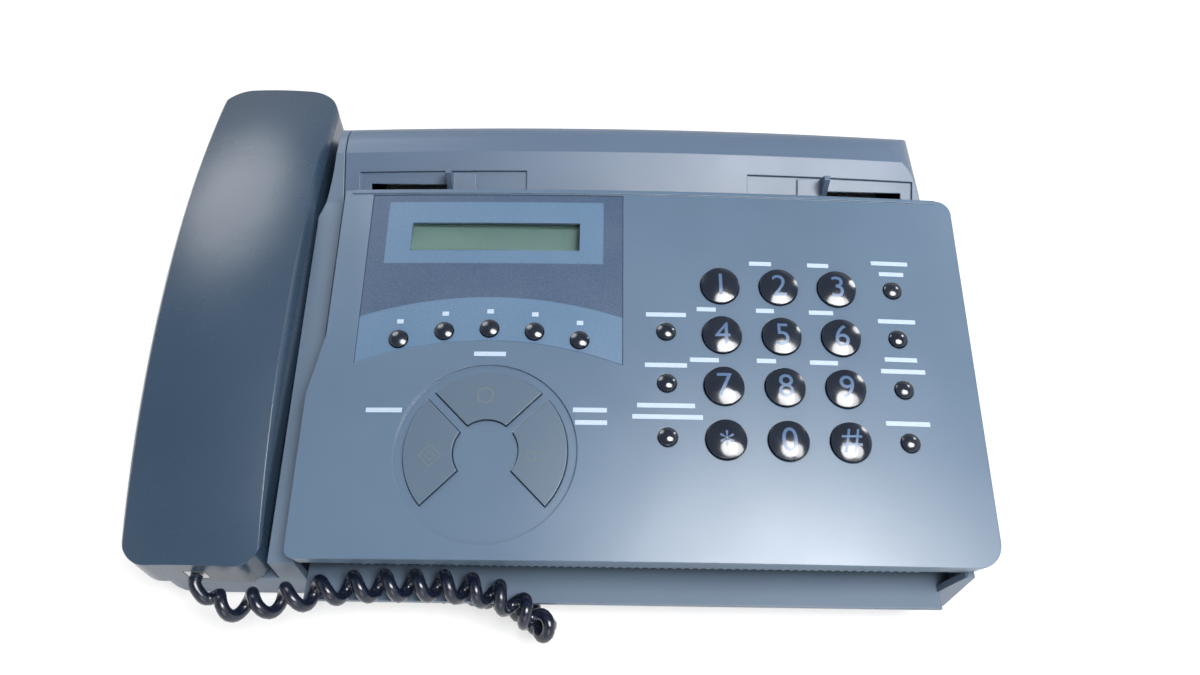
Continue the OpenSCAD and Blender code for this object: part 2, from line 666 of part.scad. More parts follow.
supply_x = [x_left + 12, panel_x0 - 2];
supply_y = [22, 96];
module power_supply() {
    color("peru") box(supply_x[0], supply_x[1], supply_y[0], supply_y[1], board_z, board_z + 1.6);
    color("gold") box(x_left + 20, x_left + 46, 30, 56, board_z + 1.6, board_z + 20);
    color("black") translate([x_left + 52, 70, board_z + 1.6]) cylinder(r = 7, h = 18);
    color("silver") box(x_left + 18, x_left + 21, 62, 84, board_z + 1.6, board_z + 18);
}

speaker_pos = [x_left + 30, -20];
module speaker() translate([speaker_pos[0], speaker_pos[1], floor_z]) {
    color("gray") difference() {
        union() {
            cylinder(r = 20, h = 3);
            translate([0, 0, 3]) cylinder(r1 = 19, r2 = 10, h = 6);
        }
        translate([0, 0, -1]) cylinder(r1 = 17, r2 = 9, h = 8);
    }
    color("dimgray") translate([0, 0, 9]) cylinder(r = 12, h = 6);
    color("black") translate([0, 0, 7]) cylinder(r = 8, h = 2);
}

// ---------------------------------------------------------------- rear cover
// Outline of the cover in the Y-Z plane, drawn smaller by i
function cover_profile(i) = let (r = crest_r - i, q = crest_c + r * [cos(back_fall), sin(back_fall)]) concat(
    [[cover_y0, cover_z0 - i / cos(cover_slope)], [crease_y + i * 0.5, crease_z - i]],
    [for (a = [102:-11.5:back_fall]) crest_c + r * [cos(a), sin(a)]],
    [[cover_y1 - i, q[1] - (cover_y1 - i - q[0]) / tan(back_fall)]]);

// Turns a Y-Z outline about the far axis under the crest, which crowns it across
crown_half = 4.3;
module crowned(pts) translate([crest_x, 0, -crown_r]) rotate([90, 0, 180]) rotate(90 - crown_half)
    rotate_extrude(angle = 2 * crown_half, $fn = 256) polygon([for (p = pts) [p[1] + crown_r, p[0]]]);

cover_corner = 14;
cover_top = crest_c[1] + crest_r + crown(cover_x1 - cover_corner);
module cover_block(i) intersection() {
    crowned(concat(cover_profile(i), [[cover_y1 - i, -10], [cover_y0, -10]]));
    translate([0, y_back + 10, 0]) rotate([90, 0, 0]) linear_extrude(body_d) difference() {
        translate([cover_x0 + i, -20]) square([cover_x1 - cover_x0 - 2 * i, 120]);
        translate([cover_x1 - i, cover_top - i]) rotate(180) corner(cover_corner - i);
    }
    linear_extrude(200, center = true) difference() {
        translate([cover_x0, 0]) square([cover_x1 - cover_x0, y_back]);
        translate([cover_x1 - i, cover_y1 - i]) rotate(180) corner(9 - i);
    }
}

module on_slope() translate([0, cover_y0, cover_z0]) rotate([cover_slope, 0, 0]) children();

guide_x = crest_x - 2;
recess_in = 44.5;
recess_out = 112;
recess_s = 12;
pinion_s = 9;
rack_n = -10;
rack_h = 3;
slider_teeth = 10;
slider_r = gear_module * slider_teeth / 2;
slot_s = 3.4;
// The crown takes the recess's back edge down the slope at the sides: 1.3 mm keeps the guides off it
guide_s1 = recess_s - 1.3;

module rear_cover() color("slategray") difference() {
    union() {
        difference() {
            cover_block(0);
            cover_block(wall);
            cover_foot();
        }
        // Hinge lugs with their studs
        intersection() {
            union() {
                x_shaft(cover_x0, cover_x0 + wall, cover_hinge, 3.8);
                x_shaft(cover_x1 - wall, cover_x1, cover_hinge, 3.8);
            }
            cover_block(0);
        }
        x_shaft(cover_x0 + wall - eps, frame_x0 + frame_t, cover_hinge, hinge_pin_r);
        x_shaft(frame_x1, cover_x1 - wall + eps, cover_hinge, hinge_pin_r);
        on_slope() translate([guide_x, pinion_s, rack_n - 1]) cylinder(r = 2, h = -rack_n - 0.5);
    }
    // Shallow recesses for the document guides
    for (s = [-1, 1]) intersection() {
        crowned([for (q = [[-3, -1.1], [recess_s, -1.1], [recess_s + 2, 6], [-3, 6]])
            [cover_y0 + q[0] * cos(cover_slope) - q[1] * sin(cover_slope),
                cover_z0 + q[0] * sin(cover_slope) + q[1] * cos(cover_slope)]]);
        box(guide_x + min(s * recess_in, s * recess_out), guide_x + max(s * recess_in, s * recess_out),
            cover_y0 - 5, crease_y, 50, 100);
    }
    // Slots for the guide stems
    for (s = [-1, 1]) on_slope()
        translate([guide_x + s * guide_span / 2 - (s < 0 ? guide_slide + 2.5 : 2), slot_s - 0.2, -9])
            cube([guide_slide + 4.5, 3, 12]);
}

// Lower edge of the cover: level along the sides, cut up clear of its hinge, lower across the back
module cover_foot() {
    along_x(cover_x0 - 1, cover_x1 + 1) polygon([
        [0, -30], [y_back, -30], [y_back, cover_low], [cover_hinge[0], cover_low],
        [cover_hinge[0], rim_z + 0.7], [0, rim_z + 0.7]
    ]);
    for (x = [cover_x0 - 1, cover_x1 - wall - 1]) along_x(x, x + wall + 2) difference() {
        translate([cover_hinge[0], 0]) square([y_back, cover_hinge[1] - 0.8]);
        translate(cover_hinge) circle(8.2);
    }
}

// Document guide: fin on a slider, with a toothed rack on a stem under the cover; s is its side
module document_guide(s) on_slope() {
    fin_x = guide_x + s * guide_span / 2;
    deck = crown(fin_x - s * 8) - 0.8;
    translate([fin_x - 1.1, 0, 0]) rotate([90, 0, 90]) linear_extrude(2.2) polygon([
        [1.5, deck], [guide_s1, deck], [guide_s1, deck + 8.5], [guide_s1 - 1.7, deck + 9],
        [2.5, deck + 1.8], [1.5, deck + 1]
    ]);
    translate([min(fin_x, fin_x - s * 9) - 1.1, 1.5, deck]) cube([11.2, guide_s1 - 1.5, 1]);
    translate([fin_x - 1.1, slot_s, rack_n]) cube([2.2, 2.6, deck - rack_n + 0.5]);
    translate([guide_x, pinion_s, rack_n]) rotate(s > 0 ? 0 : 180)
        linear_extrude(rack_h) rack_outline(guide_slide + 8, guide_span / 2 + 1.1);
    arm = [slot_s, slot_s + 2.6, pinion_s + s * (slider_r + 4), pinion_s + s * (slider_r + 1.3)];
    translate([fin_x - 1.1, min(arm), rack_n]) cube([2.2, max(arm) - min(arm), rack_h]);
}

// Rack beside a pinion at the origin: its teeth point down at the pinion, one of them at x = 0
module rack_outline(x0, x1) {
    m = gear_module;
    pitch = PI * m;
    tip = pitch / 4 - 0.06 - 0.85 * m * tan(20);
    root = pitch / 4 - 0.06 + 1.2 * m * tan(20);
    translate([-x0, slider_r + 1.2 * m - eps]) square([x0 + x1, 2.8]);
    for (i = [-floor((x0 - root) / pitch):floor((x1 - root) / pitch)]) polygon([
        [i * pitch - root, slider_r + 1.2 * m], [i * pitch - tip, slider_r - 0.85 * m],
        [i * pitch + tip, slider_r - 0.85 * m], [i * pitch + root, slider_r + 1.2 * m]
    ]);
}
module guide_pinion() color("ivory") on_slope() translate([guide_x, pinion_s, rack_n]) difference() {
    linear_extrude(rack_h) gear_outline(slider_teeth, gear_module);
    translate([0, 0, -1]) cylinder(r = 2 + running, h = rack_h + 2);
}

// ---------------------------------------------------------------- handset
// Seen from the side the handset is an arc about bend_c
bend_r = 370;
bend_c = [50, 71.5 - bend_r];
ear_y = handset_y1 - 27;
mouth_y = handset_y0 + 26;
ear_low = 38;
mouth_low = 20.5;
face_side = 7;
front_in = 1.5;
front_r = 9;
back_r = 13;
flare_len = 81;
function bend_z(r, y) = bend_c[1] + sqrt(r * r - pow(y - bend_c[0], 2));

// Section of the handset above its seam, with crowned top and rounded edges; its outline cuts the sides
section_over = 0.15;
module hand_section(i) let (half = handset_w / 2 - i + section_over) intersection() {
    translate([-half, -1]) difference() {
        square([2 * half, handset_side + 1 - i]);
        for (m = [0, 1]) translate([m * 2 * half, handset_side + 1 - i]) mirror([m, 0])
            mirror([0, 1]) corner(7 - i);
    }
    translate([0, handset_side - 160 - i]) circle(160, $fn = 200);
}

// A section turned through the handset's bend, from radius r0 outwards
module bent(r0) translate([handset_x, bend_c[0], bend_c[1]]) rotate([0, 90, 0]) rotate(170)
    rotate_extrude(angle = 36, $fn = 256) translate([r0, 0]) rotate(-90) children();

// Outline of the handset from above, drawn smaller by i; its grip widens by front_in over flare_len
module hand_plan(i) difference() {
    translate([-handset_w / 2 + i, handset_y0 + i]) square([handset_w - 2 * i, handset_len - 2 * i]);
    for (m = [0, 1]) mirror([m, 0]) {
        translate([-handset_w / 2 + front_in + i, handset_y0 + i]) corner(front_r - i);
        translate([-handset_w / 2 + i, handset_y1 - i]) mirror([0, 1]) corner(back_r - i);
        polygon([
            [-handset_w / 2 - 3, handset_y0 - 1], [-handset_w / 2 + front_in + i, handset_y0 - 1],
            [-handset_w / 2 + front_in + i, handset_y0 + front_r],
            [-handset_w / 2 - front_in + i, handset_y0 + front_r + 2 * flare_len],
            [-handset_w / 2 - 3, handset_y0 + front_r + 2 * flare_len]
        ]);
    }
}

module handset_shell() color("darkslategray") difference() {
    hand_form(0);
    hand_form(wall);
    cord_socket();
}
module hand_form(i) intersection() {
    bent(bend_r - handset_side) hand_section(i);
    translate([handset_x, 0, 0]) linear_extrude(120) hand_plan(i);
}

// Half of the handset that faces the cradle: a grip with a cup at each end
module handset_face() color("darkslategray") difference() {
    union() {
        intersection() {
            bent(bend_r - handset_side - face_side) translate([-handset_w / 2, 0])
                square([handset_w, face_side]);
            translate([handset_x, 0, mouth_low + 0.4]) linear_extrude(120) hand_plan(wall + seat);
        }
        intersection() {
            union() {
                hand_cup(ear_y, 22, ear_low);
                hand_cup(mouth_y, 20, mouth_low);
            }
            bent(bend_r - 60) translate([-40, 0]) square([80, 60 - handset_side]);
        }
    }
    capsule_pocket(ear_y, ear_low + 3.5, capsule_r + 0.2);
    capsule_pocket(mouth_y, mouth_low + 3.5, capsule_r + 0.2);
    // Sound holes
    for (a = [0:60:300]) translate([handset_x, ear_y, 0]) rotate(a) translate([6, 0, ear_low - 1])
        cylinder(r = 1.2, h = 6);
    translate([handset_x, ear_y, ear_low - 1]) cylinder(r = 1.2, h = 6);
    for (x = [-8, 0, 8]) translate([handset_x + x, mouth_y, mouth_low - 1]) cylinder(r = 1.2, h = 6);
    cord_socket();
}
cup_w = handset_w - 10;
module hand_cup(y, half, low) translate([handset_x - cup_w / 2, y - half, low]) linear_extrude(60) difference() {
    square([cup_w, 2 * half]);
    for (i = [0, 1]) for (j = [0, 1]) translate([i * cup_w, j * 2 * half])
        mirror([i, 0]) mirror([0, j]) corner(12);
}
module capsule_pocket(y, z, r) translate([handset_x, y, z]) cylinder(r = r, h = 60);

capsule_r = 14;
module handset_capsules() {
    for (p = [[ear_y, ear_low], [mouth_y, mouth_low]]) translate([handset_x, p[0], p[1] + 3.5]) {
        color("silver") cylinder(r = capsule_r, h = 5);
        color("gray") translate([0, 0, 5]) cylinder(r = capsule_r - 4, h = 2);
    }
    color("silver") box(handset_x - plug_w / 2, handset_x + plug_w / 2, handset_y0, handset_y0 + 8.5,
        socket_z - plug_h / 2, socket_z + plug_h / 2);
}

// Socket for the cord's plug in the handset's front end
plug_w = 7;
plug_h = 6.6;
socket_z = 28.5;
module cord_socket() box(handset_x - plug_w / 2 - seat, handset_x + plug_w / 2 + seat, handset_y0 - 5,
    handset_y0 + 9, socket_z - plug_h / 2 - seat, socket_z + plug_h / 2 + seat);

// ---------------------------------------------------------------- handset cradle
trough_x0 = handset_x - handset_w / 2 - 0.5;
trough_x1 = handset_x + handset_w / 2 + 0.8;
deck_r = bend_r - handset_side - face_side - 5;
ledge_n = -skirt - 0.8;
tower_drop = -crown(cover_x0);
well_r = 87;

// Outline of the cradle in the Y-Z plane, drawn smaller by i
function cradle_profile(i) = concat(
    [[bay_front_y + i, rim_z - i], [bay_front_y + i, plane_z(bay_front_y, ledge_n) - i],
        [30, plane_z(30, ledge_n) - i]],
    [for (p = cover_profile(i)) [p[0], p[1] - tower_drop]],
    [[cover_y1 - i, rim_z - i]]);

// Space over the deck that holds the handset, widened by i
module trough(i) {
    along_x(trough_x0 - i, trough_x1 + i) trough_side(i);
    // The well beside the earpiece bulges to the right
    intersection() {
        translate([trough_x1 + 6.2 - well_r, 66, 0]) cylinder(r = well_r + i, h = 150, $fn = 256);
        along_x(trough_x1 - 1, trough_x1 + 20) trough_side(i);
    }
}
module trough_side(i) {
    translate([handset_y0 - 5, mouth_low - seat - i]) square([mouth_y + 21 + i - handset_y0 + 5, 100]);
    translate([ear_y - 24 - i, ear_low - seat - i]) square([handset_y1 + 1 - ear_y + 24 + 2 * i, 100]);
    difference() {
        translate([handset_y0 - 5, mouth_low - seat - i]) square([handset_len, 100]);
        translate(bend_c) circle(deck_r - i, $fn = 256);
    }
}

module handset_cradle() color("slategray") difference() {
    along_x(cradle_x0, cradle_x1) polygon(cradle_profile(0));
    difference() {
        along_x(cradle_x0 + wall, cradle_x1 - wall) polygon(cradle_profile(wall));
        trough(wall);
    }
    trough(0);
    // Left wall keeps below the handset's seam
    along_x(cradle_x0 - 1, trough_x0 + 1) difference() {
        translate([bay_front_y - 1, -20]) square([handset_y1 - bay_front_y + 2, 130]);
        translate(bend_c) circle(bend_r - handset_side - 1, $fn = 256);
    }
    // Open side towards the gears
    box(cradle_x1 - wall - 1, cradle_x1 + 1, bay_front_y + wall, y_back - 15, 0, plane_z(bay_front_y, ledge_n) - 8);
    along_x(cradle_x1 - wall - 1, cradle_x1 + 1) polygon([
        [-60, 0], [60, 0], [60, 52], [28, 52], [-60, plane_z(-60, ledge_n) - 8]
    ]);
    translate([hook_pos[0], hook_pos[1], 0]) cylinder(r = hook_r + 0.3, h = 100);
    // Corners follow the cabinet
    translate([cradle_x0, bay_front_y, 0]) linear_extrude(100) corner(18);
    translate([cradle_x0, y_back, 0]) mirror([0, 1]) linear_extrude(100) corner(14);
}

// The plunger's collar stops it under the deck when the handset is off
hook_pos = [handset_x, ear_y - 32];
hook_r = 2.5;
hook_z = bend_z(bend_r - handset_side - face_side, hook_pos[1]) - seat;
collar_z = bend_z(deck_r - wall, hook_pos[1]) - hook_travel - 0.5;
module hook_plunger() color("dimgray") translate([hook_pos[0], hook_pos[1], collar_z - 1.5]) {
    cylinder(r = hook_r, h = hook_z - collar_z + 1.5);
    cylinder(r = hook_r + 2, h = 1.5);
}

// ---------------------------------------------------------------- handset cord
// Route of the cord: from the handset, along the exit lip, off its edge and back under it to the jack
cord_route = [
    [-125, -102.3, 28.5], [-125, -105.5, 28.5], [-122, -109, 26], [-116, -111, 24.5], [-108, -110.8, 24],
    [-99, -110, 25], [-88, -108, 26.3], [-76, -105.5, 26.4], [-64, -104.4, 26.4], [-52, -104, 26.4],
    [-41, -104, 26.4], [-31, -104.8, 26.4], [-23, -106.2, 26.4], [-15.5, -109, 26.2], [-8.5, -113, 23.8],
    [-3.5, -115.6, 19], [-2.5, -115.4, 13.5], [-5, -112, 9], [-10, -107.2, 6.9], [-17, -103, 6.4],
    [-25, -100, 6.4], [-33, -98.6, 6.4], [-41, -98.2, 6.6], [-49, -98, 7.4], [-56, -98, 8.6],
    [-61, -96.6, 9.8], [-66, -95.2, 10.8], [-72, -94.6, 11.1]
];
function cord_r(i) = let (last = len(cord_route) - 1)
    i < 3 || i > last - 3 ? wire_d / 2 : i < 4 || i > last - 4 ? curl_d / 2.6 : curl_d / 2;
function unit(v) = v / norm(v);
function route_dir(i) = unit(cord_route[min(i + 1, len(cord_route) - 1)] - cord_route[max(i - 1, 0)]);
function cross_a(d) = unit(cross(d, abs(d[2]) > 0.9 ? [0, 1, 0] : [0, 0, 1]));
cord_sides = 8;
module handset_cord() color("darkslategray") {
    n = len(cord_route);
    polyhedron(
        points = [for (i = [0:n - 1]) let (d = route_dir(i), a = cross_a(d), b = cross(d, a))
            for (j = [0:cord_sides - 1]) cord_route[i]
                + cord_r(i) * (cos(360 * j / cord_sides) * a + sin(360 * j / cord_sides) * b)],
        faces = concat(
            [[for (j = [0:cord_sides - 1]) j]],
            [for (i = [0:n - 2]) for (j = [0:cord_sides - 1]) let (k = (j + 1) % cord_sides)
                each [[i * cord_sides + j, (i + 1) * cord_sides + j, (i + 1) * cord_sides + k],
                    [i * cord_sides + j, (i + 1) * cord_sides + k, i * cord_sides + k]]],
            [[for (j = [cord_sides - 1:-1:0]) (n - 1) * cord_sides + j]]));
}
// Plug in the handset jack, from inside the step's wall to the end of the cord
plug_y = jack[0] + jack[2] / 2;
plug_z = jack[1] + jack[3] / 2;
module base_plug() color("silver") box(step_x - wall + 0.5, cord_route[len(cord_route) - 1][0] - seat,
    plug_y - plug_w / 2, plug_y + plug_w / 2, plug_z - plug_h / 2, plug_z + plug_h / 2);

lower_cabinet();
feet();
handset_cradle();
hook_plunger();
main_board();
power_supply();
speaker();
document_chute();
image_sensor();
feed_roller();
exit_roller();
platen_roller();
thermal_head();
tear_bar();
paper_roll();
step_motor();
motor_pinion();
operation_panel();
display_plate();
display_lens();
display_module();
panel_board();
upper_guide();
separator_pad();
dial_key(0);  // key_1
dial_key(1);  // key_2
dial_key(2);  // key_3
dial_key(3);  // key_4
dial_key(4);  // key_5
dial_key(5);  // key_6
dial_key(6);  // key_7
dial_key(7);  // key_8
dial_key(8);  // key_9
dial_key(9);  // key_star
dial_key(10);  // key_0
dial_key(11);  // key_hash
sector_key(90);  // stop_key
sector_key(180);  // start_key
sector_key(0);  // copy_key
quick_key(0);  // quick_key_1
quick_key(1);  // quick_key_2
quick_key(2);  // quick_key_3
quick_key(3);  // quick_key_4
quick_key(4);  // quick_key_5
side_key(left_keys[0]);  // volume_key
side_key(left_keys[1]);  // function_key
side_key(left_keys[2]);  // resolution_key
side_key(right_keys[0]);  // speed_dial_key
side_key(right_keys[1]);  // redial_key
side_key(right_keys[2]);  // hold_key
side_key(right_keys[3]);  // speaker_key
rear_cover();
document_guide(-1);  // left_guide
document_guide(1);  // right_guide
guide_pinion();
handset_shell();
handset_face();
handset_capsules();
handset_cord();
base_plug();
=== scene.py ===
"""Looks of a desk fax machine with a side handset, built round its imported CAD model.

Laid out as an add-on: the property groups hold the sizes and colours, and each operator makes one group
of pieces.
"""
import json
import math
import bpy
import bmesh
from mathutils import Matrix, Vector
from mathutils.bvhtree import BVHTree


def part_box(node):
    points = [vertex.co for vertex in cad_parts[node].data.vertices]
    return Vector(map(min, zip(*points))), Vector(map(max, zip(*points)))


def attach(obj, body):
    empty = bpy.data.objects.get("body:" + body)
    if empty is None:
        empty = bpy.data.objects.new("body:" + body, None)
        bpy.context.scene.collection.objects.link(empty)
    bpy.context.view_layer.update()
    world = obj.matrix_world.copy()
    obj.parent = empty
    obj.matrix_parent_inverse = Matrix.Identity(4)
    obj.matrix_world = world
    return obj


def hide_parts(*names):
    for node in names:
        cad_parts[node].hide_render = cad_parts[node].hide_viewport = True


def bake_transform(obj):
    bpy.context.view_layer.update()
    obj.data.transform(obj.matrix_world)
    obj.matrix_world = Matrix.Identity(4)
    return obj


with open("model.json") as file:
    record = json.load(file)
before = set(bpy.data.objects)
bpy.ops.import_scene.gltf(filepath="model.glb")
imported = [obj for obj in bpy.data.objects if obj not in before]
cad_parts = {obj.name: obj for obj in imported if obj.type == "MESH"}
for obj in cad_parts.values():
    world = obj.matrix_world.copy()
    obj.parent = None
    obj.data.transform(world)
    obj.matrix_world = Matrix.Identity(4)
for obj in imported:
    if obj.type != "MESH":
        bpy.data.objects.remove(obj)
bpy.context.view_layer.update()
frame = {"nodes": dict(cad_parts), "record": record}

bl_info = {
    "name": "Desk fax machine",
    "version": (1, 0, 0),
    "blender": (4, 5, 0),
    "location": "View3D > Sidebar > Fax",
    "description": "Materials, cord, marks and studio for a desk fax machine",
    "category": "Object",
}

NODES = frame["nodes"]
SLOT_OF = {part["node"]: part["material_slot"] for part in frame["record"]["subparts"]}
BODY_OF = {node: body for body, members in frame["record"]["behaviour"]["bodies"].items() for node in members}
MM = 0.001

# The operation panel's plane: its front edge, slope and crown, as in the part's source
PANEL_Y0 = -102.5 * MM
PANEL_Z0 = 50 * MM
SLOPE = math.radians(11)
CREST_X = 31 * MM
CROWN_R = 2000 * MM


def tone(red, green, blue):
    """Scene-linear colour of three display values from 11 to 255."""
    return tuple(((value / 255 + 0.055) / 1.055) ** 2.4 for value in (red, green, blue))


# ------------------------------------------------------------------ what a user would change
def colour(name, text, value):
    """Colour setting, from scene-linear values."""
    return bpy.props.FloatVectorProperty(
        name=name, description=text, default=value, size=3, min=0, max=1, subtype="COLOR"
    )


def size(name, text, millimetres):
    """Length setting, in millimetres."""
    return bpy.props.FloatProperty(
        name=name, description=text, default=millimetres * MM, min=0, unit="LENGTH", subtype="DISTANCE"
    )


class FaxColours(bpy.types.PropertyGroup):
    """Colours of the mouldings, keys, prints and floor."""

    cabinet: colour("Cabinet", "Moulded cabinet and handset cradle", tone(84, 100, 118))
    cover: colour("Rear cover", "Rear paper cover and its document guides", tone(76, 93, 114))
    panel: colour("Panel", "Hinged operation panel", tone(80, 99, 119))
    handset: colour("Handset", "Both halves of the handset", tone(46, 63, 81))
    plate_dark: colour("Plate, dark", "Dark print of the display plate", tone(48, 66, 90))
    plate_light: colour("Plate, light", "Light print of the display plate", tone(74, 100, 126))
    key: colour("Round keys", "Glossy round keys", tone(26, 32, 42))
    sector_key: colour("Sector keys", "Three keys of the ring", tone(72, 89, 106))
    crystal: colour("Crystal", "Liquid crystal behind the window", tone(88, 112, 112))
    white_print: colour("White print", "Marks printed on the panel", tone(158, 174, 192))
    digit: colour("Digits", "Digits on the dial keys", tone(74, 97, 128))
    sign: colour("Signs", "Faint signs on the ring's keys", tone(84, 96, 100))
    cord: colour("Cord", "Jacket of the handset cord", tone(16, 22, 38))
    floor: colour("Floor", "Studio floor and backdrop", tone(250, 250, 250))


class FaxSizes(bpy.types.PropertyGroup):
    """Sizes of what is drawn round the CAD model."""

    edge: size("Edge", "Rounding of the moulded edges", 0.5)
    print_height: size("Print", "Thickness of a printed mark", 0.04)
    digit_height: size("Digit", "Height of a digit on a dial key", 8.6)
    wire: size("Wire", "Diameter of the cord's wire", 4.5)
    curl: size("Curl", "Outer diameter of the curled cord", 12)


def colours():
    """Colours as a user has set them."""
    return bpy.context.scene.fax_colours


def sizes():
    """Sizes as a user has set them."""
    return bpy.context.scene.fax_sizes


# ------------------------------------------------------------------ material nodes
class Nodes:
    """A material's node tree, with short calls for what the finishes below need."""

    def __init__(self, name):
        self.material = bpy.data.materials.new(name)
        self.material.use_nodes = True
        self.tree = self.material.node_tree
        self.shader = self.tree.nodes["Principled BSDF"]
        self.place = self.add("ShaderNodeTexCoord").outputs["Object"]

    def add(self, kind, **values):
        node = self.tree.nodes.new(kind)
        for key, value in values.items():
            setattr(node, key, value)
        return node

    def link(self, source, target):
        self.tree.links.new(source, target)

    def noise(self, scale, detail=2.0, stretch=None):
        node = self.add("ShaderNodeTexNoise")
        node.inputs["Scale"].default_value = scale
        node.inputs["Detail"].default_value = detail
        place = self.place
        if stretch:
            mapping = self.add("ShaderNodeMapping")
            mapping.inputs["Scale"].default_value = stretch
            self.link(place, mapping.inputs["Vector"])
            place = mapping.outputs["Vector"]
        self.link(place, node.inputs["Vector"])
        return node.outputs["Fac"]

    def remap(self, value, low, high, to_low, to_high):
        node = self.add("ShaderNodeMapRange")
        for socket, number in zip(("From Min", "From Max", "To Min", "To Max"), (low, high, to_low, to_high)):
            node.inputs[socket].default_value = number
        self.link(value, node.inputs["Value"])
        return node.outputs["Result"]

    def math(self, operation, *values):
        node = self.add("ShaderNodeMath", operation=operation)
        for socket, value in zip(node.inputs, values):
            if isinstance(value, (int, float)):
                socket.default_value = value
            else:
                self.link(value, socket)
        return node.outputs[0]

    def mix(self, factor, a, b):
        node = self.add("ShaderNodeMix", data_type="RGBA")
        for socket, value in zip((node.inputs[0], node.inputs[6], node.inputs[7]), (factor, a, b)):
            if isinstance(value, (int, float)):
                socket.default_value = value
            elif isinstance(value, bpy.types.NodeSocket):
                self.link(value, socket)
            else:
                socket.default_value = (*value[:3], 1)
        return node.outputs[2]

    def set(self, **values):
        names = {
            "rough": "Roughness", "metal": "Metallic", "ior": "IOR", "coat": "Coat Weight",
            "coat_rough": "Coat Roughness", "specular": "Specular IOR Level", "glass": "Transmission Weight",
            "alpha": "Alpha", "sheen": "Sheen Weight",
        }
        for key, value in values.items():
            socket = self.shader.inputs[names[key]]
            if isinstance(value, (int, float)):
                socket.default_value = value
            else:
                self.link(value, socket)

    def colour(self, source):
        self.link(source, self.shader.inputs["Base Color"])

    def bump(self, height, distance, strength, edge=None):
        node = self.add("ShaderNodeBump")
        node.inputs["Strength"].default_value = strength
        node.inputs["Distance"].default_value = distance
        self.link(height, node.inputs["Height"])
        if edge is not None:
            self.link(edge, node.inputs["Normal"])
        self.link(node.outputs["Normal"], self.shader.inputs["Normal"])

    def rounded(self, radius):
        """Normal that runs smoothly over edges up to that radius."""
        node = self.add("ShaderNodeBevel", samples=6)
        node.inputs["Radius"].default_value = radius
        return node.outputs["Normal"]

    def worn(self, rounded):
        """1 on outer edges and 0 on flats."""
        flat = self.add("ShaderNodeNewGeometry").outputs["Normal"]
        node = self.add("ShaderNodeVectorMath", operation="DOT_PRODUCT")
        self.link(rounded, node.inputs[0])
        self.link(flat, node.inputs[1])
        return self.remap(node.outputs["Value"], 0.75, 0.97, 1, 0)


def paler(base, gain, lift):
    """A paler relative of a colour."""
    return tuple(min(1, gain * c + lift) for c in base)


def darker(base, gain):
    """A darker relative of a colour."""
    return tuple(gain * c for c in base)


def grained(name, base, rough=0.42, grain=1500.0, depth=0.04, patchy=0.06, wear=0.35, specular=0.5):
    """Moulded plastic: fine spark-eroded grain, soft patches of handling and paler rubbed edges."""
    n = Nodes(name)
    edge = n.rounded(sizes().edge)
    shade = n.add("ShaderNodeHueSaturation")
    shade.inputs["Color"].default_value = (*base, 1)
    n.link(n.remap(n.noise(14, 3), 0.3, 0.7, 1 - patchy, 1 + patchy), shade.inputs["Value"])
    rub = n.math("MULTIPLY", n.worn(edge), n.remap(n.noise(60, 4), 0.35, 0.75, 0.1, wear))
    n.colour(n.mix(rub, shade.outputs["Color"], paler(base, 1.9, 0.04)))
    smudges = n.remap(n.noise(38, 5), 0.35, 0.75, rough - 0.02, rough + 0.03)
    n.set(rough=smudges, specular=specular)
    n.bump(n.noise(grain, 3), depth * MM, 0.35, edge)
    return n.material


def glossy(name, base, rough=0.14, coat=0.35):
    """Polished dark plastic with faint finger smears."""
    n = Nodes(name)
    n.colour(n.mix(n.remap(n.noise(90, 3), 0.3, 0.7, 0, 0.25), base, paler(base, 1.7, 0.004)))
    n.set(rough=n.remap(n.noise(160, 4), 0.35, 0.7, rough - 0.04, rough + 0.08), coat=coat, coat_rough=0.08)
    n.bump(n.noise(420, 2), 0.01 * MM, 0.15, n.rounded(0.25 * MM))
    return n.material


def metal(name, base, rough=0.3, stretch=(1, 30, 30)):
    """Rolled or turned metal with fine brush marks."""
    n = Nodes(name)
    marks = n.noise(260, 3, stretch)
    n.colour(n.mix(n.remap(marks, 0.3, 0.7, 0, 0.22), base, darker(base, 0.7)))
    n.set(metal=1.0, rough=n.remap(marks, 0.3, 0.7, rough - 0.06, rough + 0.12))
    n.bump(marks, 0.02 * MM, 0.3, n.rounded(0.2 * MM))
    return n.material


def rubber(name, base):
    """Ground roller rubber: dull, with a fine even tooth."""
    n = Nodes(name)
    n.colour(n.mix(n.remap(n.noise(300, 4), 0.3, 0.7, 0, 0.35), base, paler(base, 1.8, 0.01)))
    n.set(rough=0.78, specular=0.35)
    n.bump(n.noise(2600, 2), 0.05 * MM, 0.4)
    return n.material


def paper(name, base):
    """Thermal paper: matt, with the faint fibres of its coated face."""
    n = Nodes(name)
    fibres = n.noise(900)
    n.colour(n.mix(n.remap(fibres, 0.35, 0.65, 0, 0.3), base, darker(base, 0.88)))
    n.set(rough=0.62, specular=0.3, sheen=0.05)
    n.bump(fibres, 0.02 * MM, 0.3)
    return n.material


